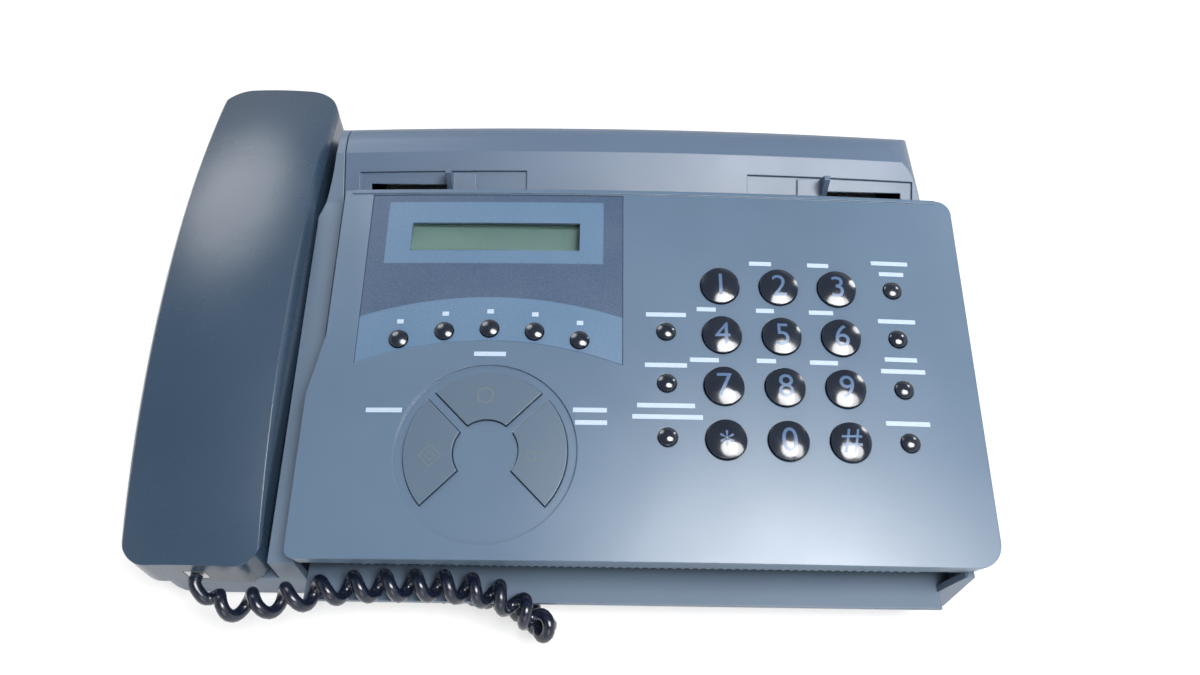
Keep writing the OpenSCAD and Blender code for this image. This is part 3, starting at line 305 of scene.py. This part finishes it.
def circuit(name):
    """Green solder mask with paler copper tracks and drilled pads."""
    n = Nodes(name)
    tracks = n.add("ShaderNodeTexBrick")
    tracks.inputs["Scale"].default_value = 190
    tracks.inputs["Mortar Size"].default_value = 0.03
    n.link(n.place, tracks.inputs["Vector"])
    pads = n.add("ShaderNodeTexVoronoi")
    pads.inputs["Scale"].default_value = 260
    n.link(n.place, pads.inputs["Vector"])
    mask = n.mix(n.remap(tracks.outputs["Fac"], 0, 1, 0, 0.6), tone(22, 78, 44), tone(46, 118, 70))
    pad = n.remap(pads.outputs["Distance"], 0.10, 0.16, 1, 0)
    n.colour(n.mix(pad, mask, tone(176, 170, 150)))
    n.set(rough=0.35)
    n.bump(tracks.outputs["Fac"], 0.04 * MM, 0.4)
    return n.material


def crystal(name, base):
    """Liquid crystal: a faint grid of cells."""
    n = Nodes(name)
    cells = n.add("ShaderNodeTexBrick", offset=0.0)
    cells.inputs["Scale"].default_value = 1400
    cells.inputs["Mortar Size"].default_value = 0.06
    n.link(n.place, cells.inputs["Vector"])
    n.colour(n.mix(n.remap(cells.outputs["Fac"], 0, 1, 0.0, 0.12), base, darker(base, 0.7)))
    n.set(rough=0.4, specular=0.4)
    n.bump(n.noise(900, 2), 0.01 * MM, 0.2)
    return n.material


def window(name):
    """Clear moulded window: thin, lightly tinted, with fine polish marks."""
    n = Nodes(name)
    n.colour(n.mix(n.remap(n.noise(50, 2), 0.3, 0.7, 0, 1), (0.80, 0.84, 0.72), (0.86, 0.89, 0.80)))
    n.set(rough=0.06, glass=1.0, ior=1.2, alpha=0.35)
    n.bump(n.noise(500, 2), 0.005 * MM, 0.1)
    return n.material


# Printed fields of the display plate, in x and up the panel's slope: the field round the window, and the
# top, middle and radius of the arc over the quick keys
FIELD_X = (-67.8 * MM, 15.6 * MM)
FIELD_UP = (110.4 * MM, 137 * MM)
ARC_X = -25.8 * MM
ARC_TOP = 96.2 * MM
ARC_R = 153.5 * MM
PRINT_BLUR = 0.12 * MM


def printed_plate(name):
    """Display plate: a dark film with a paler field round the window and a paler band under an arc."""
    c = colours()
    n = Nodes(name)
    split = n.add("ShaderNodeSeparateXYZ")
    n.link(n.place, split.inputs[0])
    x, y, z = split.outputs
    up = n.math("ADD", n.math("MULTIPLY", n.math("SUBTRACT", y, PANEL_Y0), math.cos(SLOPE)),
                n.math("MULTIPLY", n.math("SUBTRACT", z, PANEL_Z0), math.sin(SLOPE)))

    def inside(value, low, high):
        above = n.remap(value, low - PRINT_BLUR, low + PRINT_BLUR, 0, 1)
        below = n.remap(value, high - PRINT_BLUR, high + PRINT_BLUR, 1, 0)
        return n.math("MULTIPLY", above, below)

    field = n.math("MULTIPLY", inside(x, *FIELD_X), inside(up, *FIELD_UP))
    from_middle = n.math("SUBTRACT", x, ARC_X)
    rise = n.math("SQRT", n.math("SUBTRACT", ARC_R ** 2, n.math("MULTIPLY", from_middle, from_middle)))
    over_arc = n.math("SUBTRACT", up, n.math("SUBTRACT", rise, ARC_R - ARC_TOP))
    band = n.remap(over_arc, -PRINT_BLUR, PRINT_BLUR, 1, 0)
    base = n.mix(n.math("MAXIMUM", field, band), c.plate_dark, c.plate_light)
    speckle = n.remap(n.noise(2200, 2), 0.35, 0.65, 0, 0.10)
    n.colour(n.mix(speckle, base, tone(140, 160, 184)))
    n.set(rough=n.remap(n.noise(45, 4), 0.3, 0.7, 0.32, 0.44))
    n.bump(n.noise(1800, 2), 0.015 * MM, 0.25, n.rounded(0.3 * MM))
    return n.material


def ink(name, base, rough=0.5):
    """Screen-printed ink with a slightly broken edge and a dusty face."""
    n = Nodes(name)
    n.colour(n.mix(n.remap(n.noise(1200, 2), 0.4, 0.75, 0, 0.35), base, darker(base, 0.72)))
    n.set(rough=rough)
    return n.material


FINISHES = {
    "cabinet_plastic": lambda: grained("Cabinet plastic", colours().cabinet),
    "cover_plastic": lambda: grained("Rear cover plastic", colours().cover),
    "panel_plastic": lambda: grained("Panel plastic", colours().panel, rough=0.3),
    "display_plate_plastic": lambda: printed_plate("Printed display plate"),
    "handset_plastic": lambda: grained(
        "Handset plastic", colours().handset, rough=0.27, depth=0.02, wear=0.25
    ),
    "key_plastic": lambda: glossy("Glossy key plastic", colours().key),
    "sector_key_plastic": lambda: grained("Sector key plastic", colours().sector_key, rough=0.38, depth=0.03),
    "window": lambda: window("Display window"),
    "display_panel": lambda: crystal("Liquid crystal", colours().crystal),
    "circuit_board": lambda: circuit("Circuit board"),
    "path_plastic": lambda: grained("Paper path plastic", tone(58, 62, 66), rough=0.45),
    "steel": lambda: metal("Bare steel", tone(186, 188, 190)),
    "roller_rubber": lambda: rubber("Roller rubber", tone(44, 44, 46)),
    "sensor_housing": lambda: grained("Sensor housing", tone(50, 52, 56), rough=0.35),
    "roll_paper": lambda: paper("Thermal paper", tone(236, 235, 228)),
    "brass_gear": lambda: metal("Cut brass", tone(204, 168, 96), rough=0.28, stretch=(40, 2, 2)),
    "white_plastic": lambda: grained("White acetal", tone(214, 212, 204), rough=0.35, wear=0.1),
    "cord_plastic": lambda: glossy("Cord jacket", colours().cord, rough=0.24, coat=0.2),
    "plug_plastic": lambda: glossy("Smoked plug plastic", tone(60, 66, 74), rough=0.12),
}
MADE = {}


def finish_of(slot):
    """Material of a slot, made at its first use."""
    if slot not in MADE:
        MADE[slot] = FINISHES[slot]()
    return MADE[slot]


def dress(nodes):
    """Gives CAD nodes the finish of their slot."""
    for name in nodes:
        slots = NODES[name].data.materials
        material = finish_of(SLOT_OF[name])
        if not len(slots):
            slots.append(material)
        for i in range(len(slots)):
            slots[i] = material


EDGE_ANGLE = math.radians(30)


def smooth_edges(nodes):
    """Shades a CAD node smooth over its faceted curves and crisp over its real edges."""
    for name in nodes:
        mesh = NODES[name].data
        mesh.shade_smooth()
        mesh.set_sharp_from_angle(angle=EDGE_ANGLE)


def finish_nodes(nodes):
    """Gives CAD nodes their finish and their smooth shading."""
    dress(nodes)
    smooth_edges(nodes)


# ------------------------------------------------------------------ meshes
def piece(name, mesh, material, body):
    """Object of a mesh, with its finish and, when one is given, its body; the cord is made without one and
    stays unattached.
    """
    obj = bpy.data.objects.new(name, mesh)
    bpy.context.scene.collection.objects.link(obj)
    mesh.materials.append(material)
    if body:
        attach(obj, body)
    return obj


def on_panel(x, t, n):
    """Point on the crowned panel: t runs up its slope and n stands off its skin."""
    n -= (x - CREST_X) ** 2 / (2 * CROWN_R)
    return Vector((x, PANEL_Y0 + t * math.cos(SLOPE) - n * math.sin(SLOPE),
                   PANEL_Z0 + t * math.sin(SLOPE) + n * math.cos(SLOPE)))


def tree_of(node):
    """Search tree of a CAD node's faces, which are already in place."""
    mesh = NODES[node].data
    return BVHTree.FromPolygons([v.co for v in mesh.vertices], [p.vertices for p in mesh.polygons])


PANEL_NORMAL = Vector((0, -math.sin(SLOPE), math.cos(SLOPE)))
# A print is cut into edges no longer than these, one after the other, so that it follows the crown
PRINT_EDGES = (2.0 * MM, 1.2 * MM)
PRINT_START = 6 * MM


def lay_print(bm, node, height):
    """Drops a flat mesh, drawn in x and t, on a node and gives it its printed thickness."""
    tree = tree_of(node)
    for limit in PRINT_EDGES:
        long_edges = [e for e in bm.edges if e.calc_length() > limit]
        if long_edges:
            bmesh.ops.subdivide_edges(bm, edges=long_edges, cuts=1)
            bmesh.ops.triangulate(bm, faces=bm.faces[:])
    for vertex in bm.verts:
        start = on_panel(vertex.co.x, vertex.co.y, PRINT_START)
        hit = tree.ray_cast(start, -PANEL_NORMAL, 2 * PRINT_START)[0]
        if hit is None:
            raise RuntimeError(f"a print misses {node}")
        vertex.co = hit + PANEL_NORMAL * height
    bmesh.ops.recalc_face_normals(bm, faces=bm.faces[:])
    for face in bm.faces:
        if face.normal.dot(PANEL_NORMAL) < 0:
            face.normal_flip()
    skirt = bmesh.ops.extrude_face_region(bm, geom=bm.faces[:])
    moved = [v for v in skirt["geom"] if isinstance(v, bmesh.types.BMVert)]
    bmesh.ops.translate(bm, verts=moved, vec=PANEL_NORMAL * height * 0.5)
    bmesh.ops.recalc_face_normals(bm, faces=bm.faces[:])


def print_piece(name, bm, node, material):
    """Printed mark that rides with the node under it, in the material it is given."""
    lay_print(bm, node, sizes().print_height)
    mesh = bpy.data.meshes.new(name)
    bm.to_mesh(mesh)
    bm.free()
    return piece(name, mesh, material, BODY_OF[node])


# Size of the type for a digit of height 1
TYPE_SIZE = 1.42


def glyph(text, height, x, t, bm):
    """Adds a digit's flat shape to bm, centred on a place of the panel."""
    curve = bpy.data.curves.new("glyph", "FONT")
    curve.body = text
    curve.size = height * TYPE_SIZE
    curve.align_x = "CENTER"
    curve.fill_mode = "FRONT"
    curve.resolution_u = 6
    holder = bpy.data.objects.new("glyph", curve)
    bpy.context.scene.collection.objects.link(holder)
    bpy.context.view_layer.update()
    mesh = holder.evaluated_get(bpy.context.evaluated_depsgraph_get()).to_mesh()
    across = [v.co.x for v in mesh.vertices]
    along = [v.co.y for v in mesh.vertices]
    middle = Vector(((min(across) + max(across)) / 2, (min(along) + max(along)) / 2, 0))
    bm.from_mesh(mesh)
    bmesh.ops.translate(bm, verts=bm.verts[:], vec=Vector((x, t, 0)) - middle)
    holder.to_mesh_clear()
    bpy.data.objects.remove(holder)
    bpy.data.curves.remove(curve)


def flat_bar(bm, x, t, width, height):
    """Flat rectangle with its middle at x and t."""
    corners = ((-width, -height), (width, -height), (width, height), (-width, height))
    bm.faces.new([bm.verts.new((x + dx / 2, t + dt / 2, 0)) for dx, dt in corners])


# ------------------------------------------------------------------ handset cord
# Middle of the curled cord, from the handset's socket along the lip and back to the jack, in millimetres
CORD_ROUTE = (
    (-125, -102.3, 28.5), (-125, -105.5, 28.5), (-122, -109, 26), (-116, -111, 24.5), (-108, -110.8, 24),
    (-99, -110, 25), (-88, -108, 26.3), (-76, -105.5, 26.4), (-64, -104.4, 26.4), (-52, -104, 26.4),
    (-41, -104, 26.4), (-31, -104.8, 26.4), (-23, -106.2, 26.4), (-15.5, -109, 26.2), (-8.5, -113, 23.8),
    (-3.5, -115.6, 19), (-2.5, -115.4, 13.5), (-5, -112, 9), (-10, -107.2, 6.9), (-17, -103, 6.4),
    (-25, -100, 6.4), (-33, -98.6, 6.4), (-41, -98.2, 6.6), (-49, -98, 7.4), (-56, -98, 8.6),
    (-61, -96.6, 9.8), (-66, -95.2, 10.8), (-72, -94.6, 11.1),
)
ROUTE_STEP = 0.1 * MM
SPLINE_STEPS = 24
# Straight wire at each plug, its point spacing, and the length over which the curls grow from it
STRAIGHT_END = 7 * MM
STRAIGHT_STEP = 1.5 * MM
RAMP = 9 * MM
# Spacing of the turns at the handset, before the bend under the lip, and on the way back
PITCH_OUT = 13.5 * MM
PITCH_TURN = 8 * MM
PITCH_BACK = 5.6 * MM
PITCH_CHANGE = 0.10
# The bend: its place and spread as shares of the route, how far its turns open and how much they slim
BEND_AT = 0.66
BEND_SPREAD = 0.075
BEND_OPEN = 2.5 * MM
BEND_SLIM = 0.3
STEPS_PER_TURN = 16
WIRE_SIDES = 10


def smooth_route(points, step):
    """Even points along a spline through the route."""
    fine = []
    for i in range(len(points) - 1):
        a, b = points[max(i - 1, 0)], points[i]
        c, d = points[i + 1], points[min(i + 2, len(points) - 1)]
        for k in range(SPLINE_STEPS):
            u = k / SPLINE_STEPS
            fine.append(0.5 * (2 * b + (c - a) * u + (2 * a - 5 * b + 4 * c - d) * u ** 2
                               + (3 * b - a - 3 * c + d) * u ** 3))
    fine.append(points[-1].copy())
    even, rest = [fine[0]], 0.0
    for a, b in zip(fine, fine[1:]):
        length = (b - a).length
        along = step - rest
        while along <= length:
            even.append(a.lerp(b, along / length))
            along += step
        rest = length - (along - step)
    even.append(fine[-1])
    return even


def pitch_at(share):
    """Spacing of the turns at a share of the route, without what the bend opens."""
    if share < BEND_AT:
        return PITCH_OUT + (PITCH_TURN - PITCH_OUT) * share / BEND_AT
    return PITCH_TURN + (PITCH_BACK - PITCH_TURN) * min(1.0, (share - BEND_AT) / PITCH_CHANGE)


def first_side(line):
    """Level direction square to the start of a line."""
    return (line[1] - line[0]).normalized().cross(Vector((0, 0, 1))).normalized()


def cord_line():
    """Centre line of the wire: a helix round the route, straight at both plugs."""
    route = smooth_route([Vector(p) * MM for p in CORD_ROUTE], ROUTE_STEP)
    total = ROUTE_STEP * (len(route) - 1)
    radius = (sizes().curl - sizes().wire) / 2
    side = first_side(route)
    phase, line, since = 0.0, [route[0].copy()], 0.0
    for i in range(1, len(route) - 1):
        here = (route[i + 1] - route[i - 1]).normalized()
        side = (side - here * side.dot(here)).normalized()
        s = i * ROUTE_STEP
        grow = max(0.0, min(1.0, (min(s, total - s) - STRAIGHT_END) / RAMP))
        grow = grow * grow * (3 - 2 * grow)
        bend = math.exp(-((s / total - BEND_AT) / BEND_SPREAD) ** 2)
        turn = ROUTE_STEP / (pitch_at(s / total) + BEND_OPEN * bend) if grow > 0 else 0.0
        phase += turn
        since += turn * STEPS_PER_TURN if grow > 0 else ROUTE_STEP / STRAIGHT_STEP
        if since >= 1:
            since -= 1
            a = 2 * math.pi * phase
            out = grow * radius * (1 - BEND_SLIM * bend)
            line.append(route[i] + out * (math.cos(a) * side + math.sin(a) * here.cross(side)))
    while (line[-1] - route[-1]).length < 1 * MM:
        line.pop()
    line.append(route[-1].copy())
    return line


def tube(name, line, radius, sides):
    """Round tube along a line, with closed ends."""
    bm = bmesh.new()
    side = first_side(line)
    rings = []
    for i, point in enumerate(line):
        here = (line[min(i + 1, len(line) - 1)] - line[max(i - 1, 0)]).normalized()
        side = (side - here * side.dot(here)).normalized()
        up = here.cross(side)
        angles = [2 * math.pi * k / sides for k in range(sides)]
        rings.append([bm.verts.new(point + radius * (math.cos(a) * side + math.sin(a) * up)) for a in angles])
    for ring, following in zip(rings, rings[1:]):
        for k in range(sides):
            m = (k + 1) % sides
            bm.faces.new((ring[k], ring[m], following[m], following[k]))
    bm.faces.new(rings[0][::-1])
    bm.faces.new(rings[-1])
    bmesh.ops.recalc_face_normals(bm, faces=bm.faces[:])
    mesh = bpy.data.meshes.new(name)
    bm.to_mesh(mesh)
    bm.free()
    mesh.shade_smooth()
    return mesh


class FAX_OT_cord(bpy.types.Operator):
    """Curls the handset cord along its route"""

    bl_idname = "fax.cord"
    bl_label = "Handset cord"

    def execute(self, context):
        line = cord_line()
        mesh = tube("curled_cord", line, sizes().wire / 2, WIRE_SIDES)
        cord = piece("curled_cord", mesh, finish_of("cord_plastic"), None)
        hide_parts("handset_cord")
        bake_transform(cord)
        dress(["base_plug"])
        return {"FINISHED"}


# ------------------------------------------------------------------ mouldings
class FAX_OT_cabinet(bpy.types.Operator):
    """Finishes the cabinet, its cradle, feet and hook"""

    bl_idname = "fax.cabinet"
    bl_label = "Cabinet"

    def execute(self, context):
        finish_nodes(["lower_cabinet", "handset_cradle", "feet", "hook_plunger"])
        return {"FINISHED"}


class FAX_OT_panel(bpy.types.Operator):
    """Finishes the operation panel and what it carries"""

    bl_idname = "fax.panel"
    bl_label = "Operation panel"

    def execute(self, context):
        finish_nodes(["operation_panel", "panel_board", "upper_guide", "separator_pad"])
        return {"FINISHED"}


class FAX_OT_display(bpy.types.Operator):
    """Finishes the display plate, window and liquid crystal"""

    bl_idname = "fax.display"
    bl_label = "Display"

    def execute(self, context):
        finish_nodes(["display_plate", "display_lens", "display_module"])
        return {"FINISHED"}


DIAL = (("key_1", "1"), ("key_2", "2"), ("key_3", "3"), ("key_4", "4"), ("key_5", "5"), ("key_6", "6"),
        ("key_7", "7"), ("key_8", "8"), ("key_9", "9"), ("key_star", "*"), ("key_0", "0"), ("key_hash", "#"))
QUICK_KEYS = tuple(f"quick_key_{i}" for i in range(1, 6))
SMALL_KEYS = ("volume_key", "function_key", "resolution_key", "speed_dial_key", "redial_key", "hold_key",
              "speaker_key")
SECTOR_KEYS = ("stop_key", "start_key", "copy_key")


def middle_of(node):
    """Middle of a key in x and t."""
    low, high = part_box(node)
    at = (low + high) / 2
    return at.x, (at.y - PANEL_Y0) * math.cos(SLOPE) + (at.z - PANEL_Z0) * math.sin(SLOPE)


class FAX_OT_keys(bpy.types.Operator):
    """Finishes the keys and prints the dial's digits"""

    bl_idname = "fax.keys"
    bl_label = "Keys"

    def execute(self, context):
        finish_nodes([name for name, _ in DIAL] + list(QUICK_KEYS + SMALL_KEYS + SECTOR_KEYS))
        material = ink("Digit ink", colours().digit, 0.3)
        for name, text in DIAL:
            x, t = middle_of(name)
            bm = bmesh.new()
            glyph(text, sizes().digit_height, x, t, bm)
            print_piece(name + "_digit", bm, name, material)
        return {"FINISHED"}


# Plain bars where such machines carry words, in millimetres: offsets from a key's middle and widths
KEY_BARS = {
    "volume_key": ((0.1, 6.8, 14.8),), "function_key": ((-0.2, 6.9, 15.2),),
    "resolution_key": ((-0.4, 11.6, 20.6), (0.1, 7.4, 25)),
    "speed_dial_key": ((0.1, 11.2, 14.1), (0.4, 6.7, 9.4)), "redial_key": ((0.3, 6.9, 14.1),),
    "hold_key": ((0.2, 11.5, 12), (0.5, 6.9, 16.4)), "speaker_key": ((0, 6.9, 16),),
    "key_2": ((-6.3, 9.8, 8.4),), "key_3": ((-6.2, 9.7, 8.1),), "key_4": ((-5.4, 10.2, 7.1),),
    "key_5": ((-5.5, 10.1, 6.7),), "key_6": ((-6.5, 9.9, 9.1),), "key_7": ((-6.7, 9.9, 10.5),),
    "key_8": ((-6.1, 10, 7),), "key_9": ((-7, 9.8, 10.3),),
}
# The same over each quick key
QUICK_BAR = (0, 6.9, 2.4)
# Bars round the ring: middle and width of each, on the panel
RING_BARS = ((-61.5, 51.9, 12.9), (-25, 73.4, 11.6), (11.6, 52.5, 12), (12.1, 47.9, 11.3))
BAR_HEIGHT = 1.7
# Corners that make an outline round
CIRCLE = 32
# Faint signs on the ring's keys, in millimetres: middle, radius, line, corners and turn of each outline
SIGNS = {
    "start_key": ((-43.8, 35.4, 4.2, 0.6, 4, 0), (-43.8, 35.4, 2, 0.5, 4, 0)),
    "stop_key": ((-25.6, 57.5, 3, 0.5, CIRCLE, 0),),
    "copy_key": ((-8.6, 35.4, 2.2, 0.4, 4, math.pi / 4), (-5.4, 35.4, 2.2, 0.4, 4, math.pi / 4)),
}


def bars_by_key(bm, name, bars):
    """Flat bars at their offsets from a key's middle."""
    x, t = middle_of(name)
    for dx, dt, width in bars:
        flat_bar(bm, x + dx * MM, t + dt * MM, width * MM, BAR_HEIGHT * MM)


def outline(bm, x, t, radius, width, corners, turn):
    """Closed band round a regular polygon, such as a diamond or a circle."""
    rings = []
    for r in (radius, radius - width):
        angles = [turn + 2 * math.pi * k / corners for k in range(corners)]
        rings.append([bm.verts.new((x + r * math.cos(a), t + r * math.sin(a), 0)) for a in angles])
    for k in range(corners):
        m = (k + 1) % corners
        bm.faces.new((rings[0][k], rings[0][m], rings[1][m], rings[1][k]))


class FAX_OT_marks(bpy.types.Operator):
    """Prints plain bars beside the keys and signs on the ring"""

    bl_idname = "fax.marks"
    bl_label = "Marks"

    def execute(self, context):
        material = ink("White print", colours().white_print)
        bm = bmesh.new()
        for name, bars in KEY_BARS.items():
            bars_by_key(bm, name, bars)
        for x, t, width in RING_BARS:
            flat_bar(bm, x * MM, t * MM, width * MM, BAR_HEIGHT * MM)
        print_piece("key_marks", bm, "operation_panel", material)
        bm = bmesh.new()
        for name in QUICK_KEYS:
            bars_by_key(bm, name, (QUICK_BAR,))
        print_piece("quick_key_marks", bm, "display_plate", material)
        sign = ink("Key sign", colours().sign)
        for name, outlines in SIGNS.items():
            bm = bmesh.new()
            for x, t, radius, width, corners, turn in outlines:
                outline(bm, x * MM, t * MM, radius * MM, width * MM, corners, turn)
            print_piece(name.replace("key", "sign"), bm, name, sign)
        return {"FINISHED"}


class FAX_OT_cover(bpy.types.Operator):
    """Finishes the rear cover and its document guides"""

    bl_idname = "fax.cover"
    bl_label = "Rear cover"

    def execute(self, context):
        finish_nodes(["rear_cover", "left_guide", "right_guide", "guide_pinion"])
        return {"FINISHED"}


class FAX_OT_handset(bpy.types.Operator):
    """Finishes the handset"""

    bl_idname = "fax.handset"
    bl_label = "Handset"

    def execute(self, context):
        finish_nodes(["handset_shell", "handset_face", "handset_capsules"])
        return {"FINISHED"}


class FAX_OT_mechanism(bpy.types.Operator):
    """Finishes the paper path, the gears and the electronics"""

    bl_idname = "fax.mechanism"
    bl_label = "Mechanism"

    def execute(self, context):
        finish_nodes(["main_board", "power_supply", "speaker", "document_chute", "image_sensor",
                      "feed_roller", "exit_roller", "platen_roller", "thermal_head", "tear_bar", "paper_roll",
                      "step_motor", "motor_pinion"])
        return {"FINISHED"}


# ------------------------------------------------------------------ camera, floor and lamps
CAMERA_AT = Vector((11.84, -203.97, 340.42)) * MM
CAMERA_DOWN = math.radians(56.764)
CAMERA_YAW = math.radians(0.951)
CAMERA_ROLL = math.radians(1.791)
CAMERA_LENS = 27.0
CAMERA_SENSOR = 36
CAMERA_CLIP = (0.01, 20)


def aim(position, forward, right):
    """Matrix of a camera that looks forward and has its right side where it is said."""
    up = right.cross(forward)
    turn = Matrix((right, up, -forward)).transposed().to_4x4()
    return Matrix.Translation(position) @ turn


# Round soft lamps: name, place, aim, diameter and power
LAMPS = (
    ("key", (0.27, -0.27, 1.0), (0.10, -0.05, 0.05), 0.5, 11.0),
    ("key_right", (0.50, -0.28, 0.95), (0.12, -0.07, 0.05), 0.4, 5.5),
    ("back_left", (-0.55, 0.62, 0.85), (-0.12, 0, 0.07), 0.55, 4.0),
    ("ridge", (0.60, 0.32, 0.55), (-0.12, -0.05, 0.07), 0.16, 0.9),
    ("front_low", (0.1, -0.9, 0.45), (0, 0, 0.05), 0.6, 1.7),
)
WORLD_TINT = (0.93, 0.95, 1)
WORLD_LEVEL = 0.12
FLOOR_GLOW = 0.62
# Radius and height of the floor's rings, in metres
FLOOR_SWEEP = ((2.0, 0), (2.4, 0.05), (2.7, 0.2), (2.9, 0.45), (3.0, 0.8), (3.05, 2.8))
FLOOR_SIDES = 64


def soft_lamp(name, at, target, diameter, watts):
    """Round area lamp aimed at a target."""
    lamp = bpy.data.lights.new(name, "AREA")
    lamp.shape = "DISK"
    lamp.size, lamp.energy = diameter, watts
    obj = bpy.data.objects.new(name, lamp)
    bpy.context.scene.collection.objects.link(obj)
    obj.location = at
    obj.rotation_euler = (Vector(target) - Vector(at)).to_track_quat("-Z", "Y").to_euler()


def studio_white(name, base, keep):
    """White floor that glows by the share keep for camera, gloss and glass; the rest takes shadows."""
    material = bpy.data.materials.new(name)
    material.use_nodes = True
    tree = material.node_tree
    shader, output = tree.nodes["Principled BSDF"], tree.nodes["Material Output"]
    shader.inputs["Base Color"].default_value = (*base, 1)
    shader.inputs["Roughness"].default_value = 0.9
    seen = tree.nodes.new("ShaderNodeLightPath")
    total = tree.nodes.new("ShaderNodeMath")
    total.operation = "ADD"
    total.use_clamp = True
    tree.links.new(seen.outputs["Is Camera Ray"], total.inputs[0])
    more = tree.nodes.new("ShaderNodeMath")
    more.operation = "ADD"
    tree.links.new(seen.outputs["Is Glossy Ray"], more.inputs[0])
    tree.links.new(seen.outputs["Is Transmission Ray"], more.inputs[1])
    tree.links.new(more.outputs[0], total.inputs[1])
    share = tree.nodes.new("ShaderNodeMath")
    share.operation = "MULTIPLY"
    share.inputs[1].default_value = keep
    tree.links.new(total.outputs[0], share.inputs[0])
    glow = tree.nodes.new("ShaderNodeEmission")
    glow.inputs["Color"].default_value = (1, 1, 1, 1)
    blend = tree.nodes.new("ShaderNodeMixShader")
    tree.links.new(share.outputs[0], blend.inputs[0])
    tree.links.new(shader.outputs[0], blend.inputs[1])
    tree.links.new(glow.outputs[0], blend.inputs[2])
    tree.links.new(blend.outputs[0], output.inputs["Surface"])
    return material


class FAX_OT_studio(bpy.types.Operator):
    """Sets the camera, the pale floor and the soft lamps"""

    bl_idname = "fax.studio"
    bl_label = "Studio"

    def execute(self, context):
        scene = context.scene
        lens = bpy.data.cameras.new("camera")
        lens.lens, lens.sensor_width = CAMERA_LENS, CAMERA_SENSOR
        lens.clip_start, lens.clip_end = CAMERA_CLIP
        camera = bpy.data.objects.new("camera", lens)
        scene.collection.objects.link(camera)
        forward = Vector((math.sin(CAMERA_YAW) * math.cos(CAMERA_DOWN),
                          math.cos(CAMERA_YAW) * math.cos(CAMERA_DOWN), -math.sin(CAMERA_DOWN)))
        level = Vector((math.cos(CAMERA_YAW), -math.sin(CAMERA_YAW), 0))
        above = level.cross(forward)
        right = level * math.cos(CAMERA_ROLL) + above * math.sin(CAMERA_ROLL)
        camera.matrix_world = aim(CAMERA_AT, forward, right)
        scene.camera = camera

        # Floor whose rim sweeps up into a backdrop all round
        bm = bmesh.new()
        rings = []
        for radius, height in FLOOR_SWEEP:
            angles = [2 * math.pi * k / FLOOR_SIDES for k in range(FLOOR_SIDES)]
            rings.append([bm.verts.new((radius * math.cos(a), radius * math.sin(a), height)) for a in angles])
        bm.faces.new(rings[0])
        for ring, following in zip(rings, rings[1:]):
            for k in range(FLOOR_SIDES):
                m = (k + 1) % FLOOR_SIDES
                bm.faces.new((ring[k], following[k], following[m], ring[m]))
        mesh = bpy.data.meshes.new("floor")
        bm.to_mesh(mesh)
        bm.free()
        floor = bpy.data.objects.new("floor", mesh)
        scene.collection.objects.link(floor)
        mesh.shade_smooth()
        mesh.materials.append(studio_white("Studio floor", colours().floor, FLOOR_GLOW))

        for lamp in LAMPS:
            soft_lamp(*lamp)

        world = bpy.data.worlds.new("studio")
        scene.world = world
        world.use_nodes = True
        background = world.node_tree.nodes["Background"]
        background.inputs["Color"].default_value = (*WORLD_TINT, 1)
        background.inputs["Strength"].default_value = WORLD_LEVEL
        scene.view_settings.view_transform = "Standard"
        return {"FINISHED"}


STAGES = (FAX_OT_studio, FAX_OT_cord, FAX_OT_cabinet, FAX_OT_panel, FAX_OT_display, FAX_OT_keys, FAX_OT_marks,
          FAX_OT_cover, FAX_OT_handset, FAX_OT_mechanism)


class FAX_PT_build(bpy.types.Panel):
    """Lists the operators, the sizes and the colours"""

    bl_idname = "FAX_PT_build"
    bl_label = "Desk fax machine"
    bl_space_type = "VIEW_3D"
    bl_region_type = "UI"
    bl_category = "Fax"

    def draw(self, context):
        for stage in STAGES:
            self.layout.operator(stage.bl_idname)
        for group in (context.scene.fax_sizes, context.scene.fax_colours):
            for name in group.bl_rna.properties.keys():
                if name not in ("rna_type", "name"):
                    self.layout.prop(group, name)


CLASSES = (FaxColours, FaxSizes, *STAGES, FAX_PT_build)


def register():
    for cls in CLASSES:
        bpy.utils.register_class(cls)
    bpy.types.Scene.fax_colours = bpy.props.PointerProperty(type=FaxColours)
    bpy.types.Scene.fax_sizes = bpy.props.PointerProperty(type=FaxSizes)


def unregister():
    del bpy.types.Scene.fax_sizes
    del bpy.types.Scene.fax_colours
    for cls in reversed(CLASSES):
        bpy.utils.unregister_class(cls)


def main():
    register()
    for stage in STAGES:
        group, call = stage.bl_idname.split(".")
        getattr(getattr(bpy.ops, group), call)()


if __name__ == "__main__":
    main()
